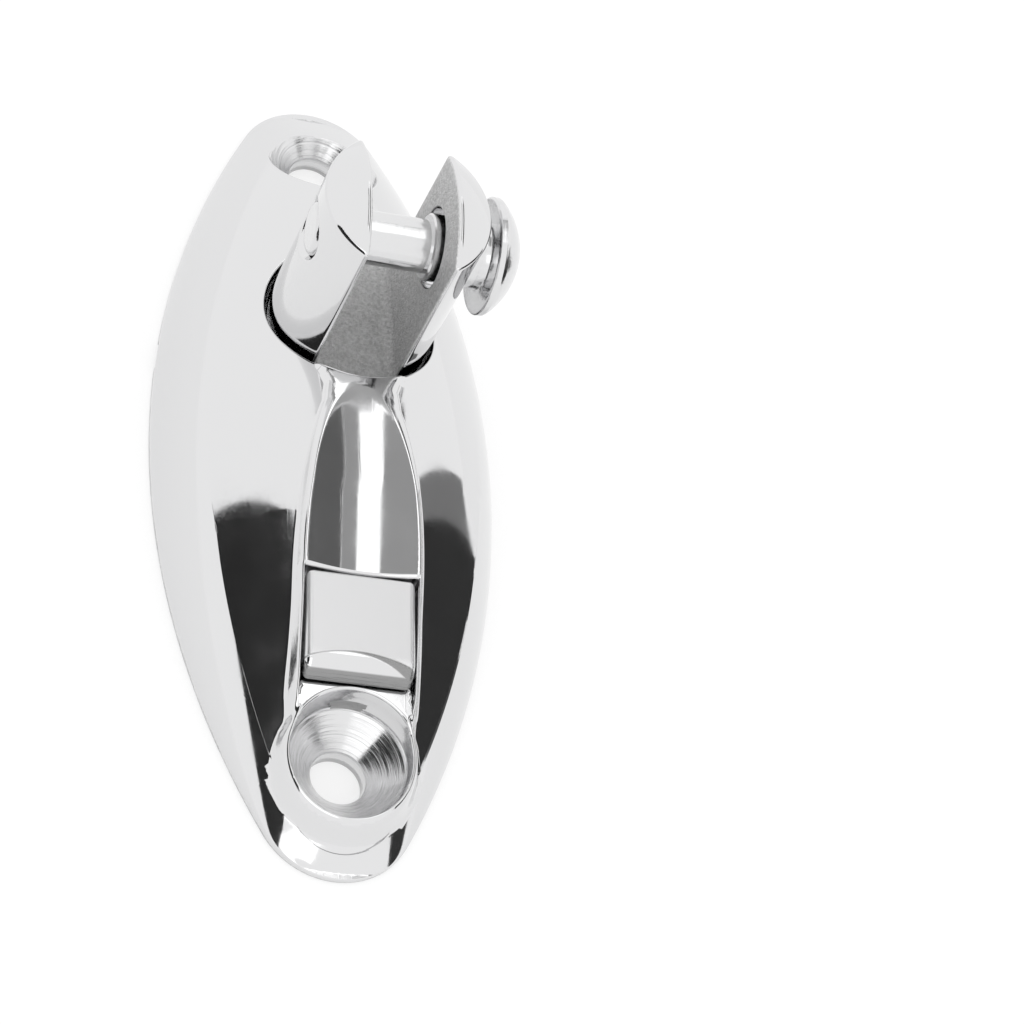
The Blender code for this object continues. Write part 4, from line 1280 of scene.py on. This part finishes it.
def fork_steel(name):
    """Polished outside, matte and granular inside the slot; one material, by place."""
    nodes = Nodes(name, STEEL, 0.07)
    x, y, z = nodes.split(nodes.place)
    inner = nodes.step(nodes.math("ABSOLUTE", x), *SLOT_MATTE_X, 1.0, 0.0)
    matte = nodes.times(inner, nodes.step(z, *SLOT_MATTE_Z))
    haze = nodes.noise(nodes.scaled(), 230.0, 4.0, 0.6)
    shiny = nodes.remap(haze, 0.35, 0.65, 0.04, 0.10)
    grain = nodes.noise(nodes.scaled(shift=(0.2, 0.0, 0.1)), 2500.0, 4.0, 0.75)
    colour = nodes.mix(matte, STEEL, nodes.remap(grain, 0.35, 0.65, 0.46, 0.72))
    waves = nodes.noise(nodes.scaled(shift=(0.1, 0.2, 0.3)), 90.0, 1.0)
    normal = nodes.bump(nodes.times(grain, matte), 0.0004, 1.0, nodes.bump(waves, 0.00002))
    return nodes.finish(nodes.plus(shiny, nodes.times(matte, 0.42)), normal, colour)


def turned_steel(name):
    """The pin: lengthwise scratches and fine turning marks."""
    nodes = Nodes(name, STEEL, 0.14)
    streaks = nodes.noise(nodes.scaled((0.05, 1.0, 1.0)), 1700.0, 3.0, 0.6)
    marks = nodes.noise(nodes.scaled((1.0, 0.05, 0.05), (0.5, 0.0, 0.0)), 2600.0, 2.0)
    height = nodes.plus(streaks, nodes.times(marks, 0.3))
    return nodes.finish(nodes.remap(streaks, 0.3, 0.7, 0.08, 0.22), nodes.bump(height, 0.00002))


def satin_steel(name):
    """The button: satin on top, a polished arch before it, ground across its front edge, whose dark
    colour is painted shade.
    """
    nodes = Nodes(name, SATIN, 0.3)
    x, y, z = nodes.split(nodes.place)

    def behind_arch(middle, bend, line):
        """1 behind an arched line across the button, 0 before it."""
        aside = nodes.math("SUBTRACT", x, middle * MM)
        arched = nodes.plus(y, nodes.times(nodes.times(aside, aside), bend))
        return nodes.step(arched, line - 0.1, line + 0.1)

    top = behind_arch(*SATIN_ARCH)
    # Ground finish on the front edge and a thin arch; its dark colour paints the shade on the lower
    # nose
    ground_and_shade = nodes.math("MAXIMUM", nodes.step(z, *GROUND_SHADE_EDGE_Z, 1.0, 0.0),
                        behind_arch(*GROUND_SHADE_ARCH))
    ground_and_shade = nodes.times(ground_and_shade, nodes.math("SUBTRACT", 1.0, top))
    lines = nodes.noise(nodes.scaled((0.04, 1.0, 1.0), (0.2, 0.1, 0.0)), 2200.0, 3.0, 0.6)
    rough = nodes.plus(nodes.times(top, 0.33), nodes.times(ground_and_shade, 0.2))
    colour = nodes.mix(top, nodes.mix(ground_and_shade, STEEL, GROUND_AND_SHADE), SATIN)
    return nodes.finish(nodes.plus(rough, 0.07), nodes.bump(nodes.times(lines, ground_and_shade), 0.00012),
                        colour)


def plain_steel(name, shade, roughness):
    """Rolled or drawn stainless of the hidden pieces."""
    nodes = Nodes(name, (shade, shade, shade + 0.01), roughness)
    rolled = nodes.noise(nodes.scaled((1.0, 0.08, 1.0)), 1500.0, 3.0, 0.6)
    return nodes.finish(nodes.remap(rolled, 0.3, 0.7, roughness - 0.08, roughness + 0.1),
                        nodes.bump(rolled, 0.000015))


def paint_base(base):
    """Polished top, machined screw holes and a rough underside."""
    materials = [polished_steel("polished_casting"), machined_steel("head_hole", HEAD_SCREW_Y),
                 machined_steel("foot_hole", FOOT_SCREW_Y), blasted_steel("rough_underside")]
    mesh = base.data
    mesh.materials.clear()
    for material in materials:
        mesh.materials.append(material)
    x, y, z = np.array([face.center for face in mesh.polygons], dtype=float).T / MM
    facing_up = np.array([face.normal.z for face in mesh.polygons])
    index = np.zeros(len(z), dtype=np.int32)
    index[(z < COVER_TOP_Z + GAP + 0.05) & (facing_up < -0.2)] = 3
    inside = (np.abs(x) < COVER_HALF_WIDTH + GAP) & (z < SPRING_ROOM_Z + 0.1)
    inside &= (y > COVER_FOOT_Y - GAP) & (y < COVER_HEAD_Y + GAP + 0.1)
    index[inside & (top_surface(x, y) - z > 1.5)] = 3
    for number, centre_y in ((1, HEAD_SCREW_Y), (2, FOOT_SCREW_Y)):
        near = np.hypot(x, y - centre_y) < mouth_radius_at(z) + 0.05
        index[near & (z > 0.01) & (z < SEAT_Z + 0.1)] = number
    mesh.polygons.foreach_set("material_index", index)
    mesh.update()


# ---- camera, floor and light

def make_camera():
    """The camera, looking down past the foot of the hinge."""
    bearing = math.radians(CAMERA_BEARING)
    down = math.radians(CAMERA_DOWN)
    forward = Vector((math.sin(bearing) * math.cos(down), math.cos(bearing) * math.cos(down),
                      -math.sin(down)))
    right = Vector((math.cos(bearing), -math.sin(bearing), 0.0))
    up = right.cross(forward)
    roll = math.radians(CAMERA_ROLL)
    turned_right = right * math.cos(roll) + up * math.sin(roll)
    turned_up = up * math.cos(roll) - right * math.sin(roll)
    data = bpy.data.cameras.new("camera")
    data.lens = CAMERA_LENS
    data.sensor_width = SENSOR_WIDTH
    data.clip_start = 0.01
    data.clip_end = 50.0
    camera = bpy.data.objects.new("camera", data)
    bpy.context.scene.collection.objects.link(camera)
    axes = Matrix((turned_right, turned_up, -forward)).transposed()
    camera.matrix_world = Matrix.Translation(CAMERA_PLACE) @ axes.to_4x4()
    bpy.context.scene.camera = camera


def add_sheet(name, rows, shade, glow, roughness):
    """A plain sheet of the set, from rows of points, that may glow."""
    material = bpy.data.materials.new(name)
    material.use_nodes = True
    inputs = material.node_tree.nodes["Principled BSDF"].inputs
    inputs["Base Color"].default_value = (shade, shade, shade, 1.0)
    inputs["Emission Color"].default_value = (1.0, 1.0, 1.0, 1.0)
    inputs["Emission Strength"].default_value = glow
    inputs["Roughness"].default_value = roughness
    inputs["Specular IOR Level"].default_value = 0.0
    shell = Shell()
    shell.band(*[shell.add(row) for row in rows], closed=False)
    mesh = bpy.data.meshes.new(name)
    mesh.from_pydata(shell.spots, [], shell.faces)
    mesh.materials.append(material)
    sheet = add_object(name, mesh)
    return sheet


def make_floor():
    """A plain pale floor."""
    rows = [[(x, y, 0.0) for x in (FLOOR_HALF, -FLOOR_HALF)] for y in (-FLOOR_HALF, FLOOR_HALF)]
    add_sheet("floor", rows, FLOOR_SHADE, FLOOR_GLOW, 0.8)


def make_panel(name, rows, shade, glow):
    """A studio panel that shows only in reflections."""
    panel = add_sheet(name, rows, shade, glow, 1.0)
    panel.visible_camera = False
    panel.visible_diffuse = False
    panel.visible_shadow = False


def make_panels():
    """Dark and bright panels beside and above the hinge."""
    for name, x, along, heights, shade in SIDE_PANELS:
        make_panel(name, [[(x, y, z) for y in along] for z in heights], shade, 0.0)
    for name, across, along, shade, glow in OVERHEAD_PANELS:
        make_panel(name, [[(x, y, OVERHEAD_Z) for x in across] for y in along], shade, glow)


def make_light():
    """Even white studio light all round."""
    world = bpy.data.worlds.new("studio")
    bpy.context.scene.world = world
    world.use_nodes = True
    world.node_tree.nodes["Background"].inputs["Color"].default_value = (1.0, 1.0, 1.0, 1.0)
    world.node_tree.nodes["Background"].inputs["Strength"].default_value = LIGHT_STRENGTH
    bpy.context.scene.view_settings.view_transform = "Standard"


# ---- main

def stand_for(piece, body, node, material):
    """Puts a piece in a CAD node's place, with its own material."""
    if material is not None:
        piece.data.materials.clear()
        piece.data.materials.append(material)
    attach(piece, body)
    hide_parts(node)


def fold_spring(spring):
    """Gives the spring its own copy of its mesh."""
    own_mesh(spring)


def main():
    """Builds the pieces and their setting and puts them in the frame."""
    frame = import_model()
    make_camera()
    make_floor()
    make_panels()
    make_light()
    base = make_base()
    paint_base(base)
    stand_for(base, "base", "base_casting", None)
    stand_for(make_fork(), "swivel", "swivel_fork", fork_steel("polished_fork"))
    stand_for(make_pin(), "pin", "clevis_pin", turned_steel("turned_pin"))
    stand_for(make_button(), "latch", "latch_button", satin_steel("satin_button"))
    spring = make_spring()
    stand_for(spring, "base", "latch_spring", plain_steel("spring_wire", 0.55, 0.3))
    fold_spring(spring)
    plate_screw = plain_steel("plain_screw", 0.66, 0.28)
    hidden = {"latch_plate": plain_steel("plain_plate", 0.62, 0.34), "plate_screw": plate_screw,
              "cover_plate": plain_steel("cover_sheet", 0.62, 0.34)}
    hidden.update({f"cover_screw_{number}": plate_screw for number in range(1, 5)})
    for node, material in hidden.items():
        for place in frame["nodes"][node].material_slots:
            place.material = material


main()
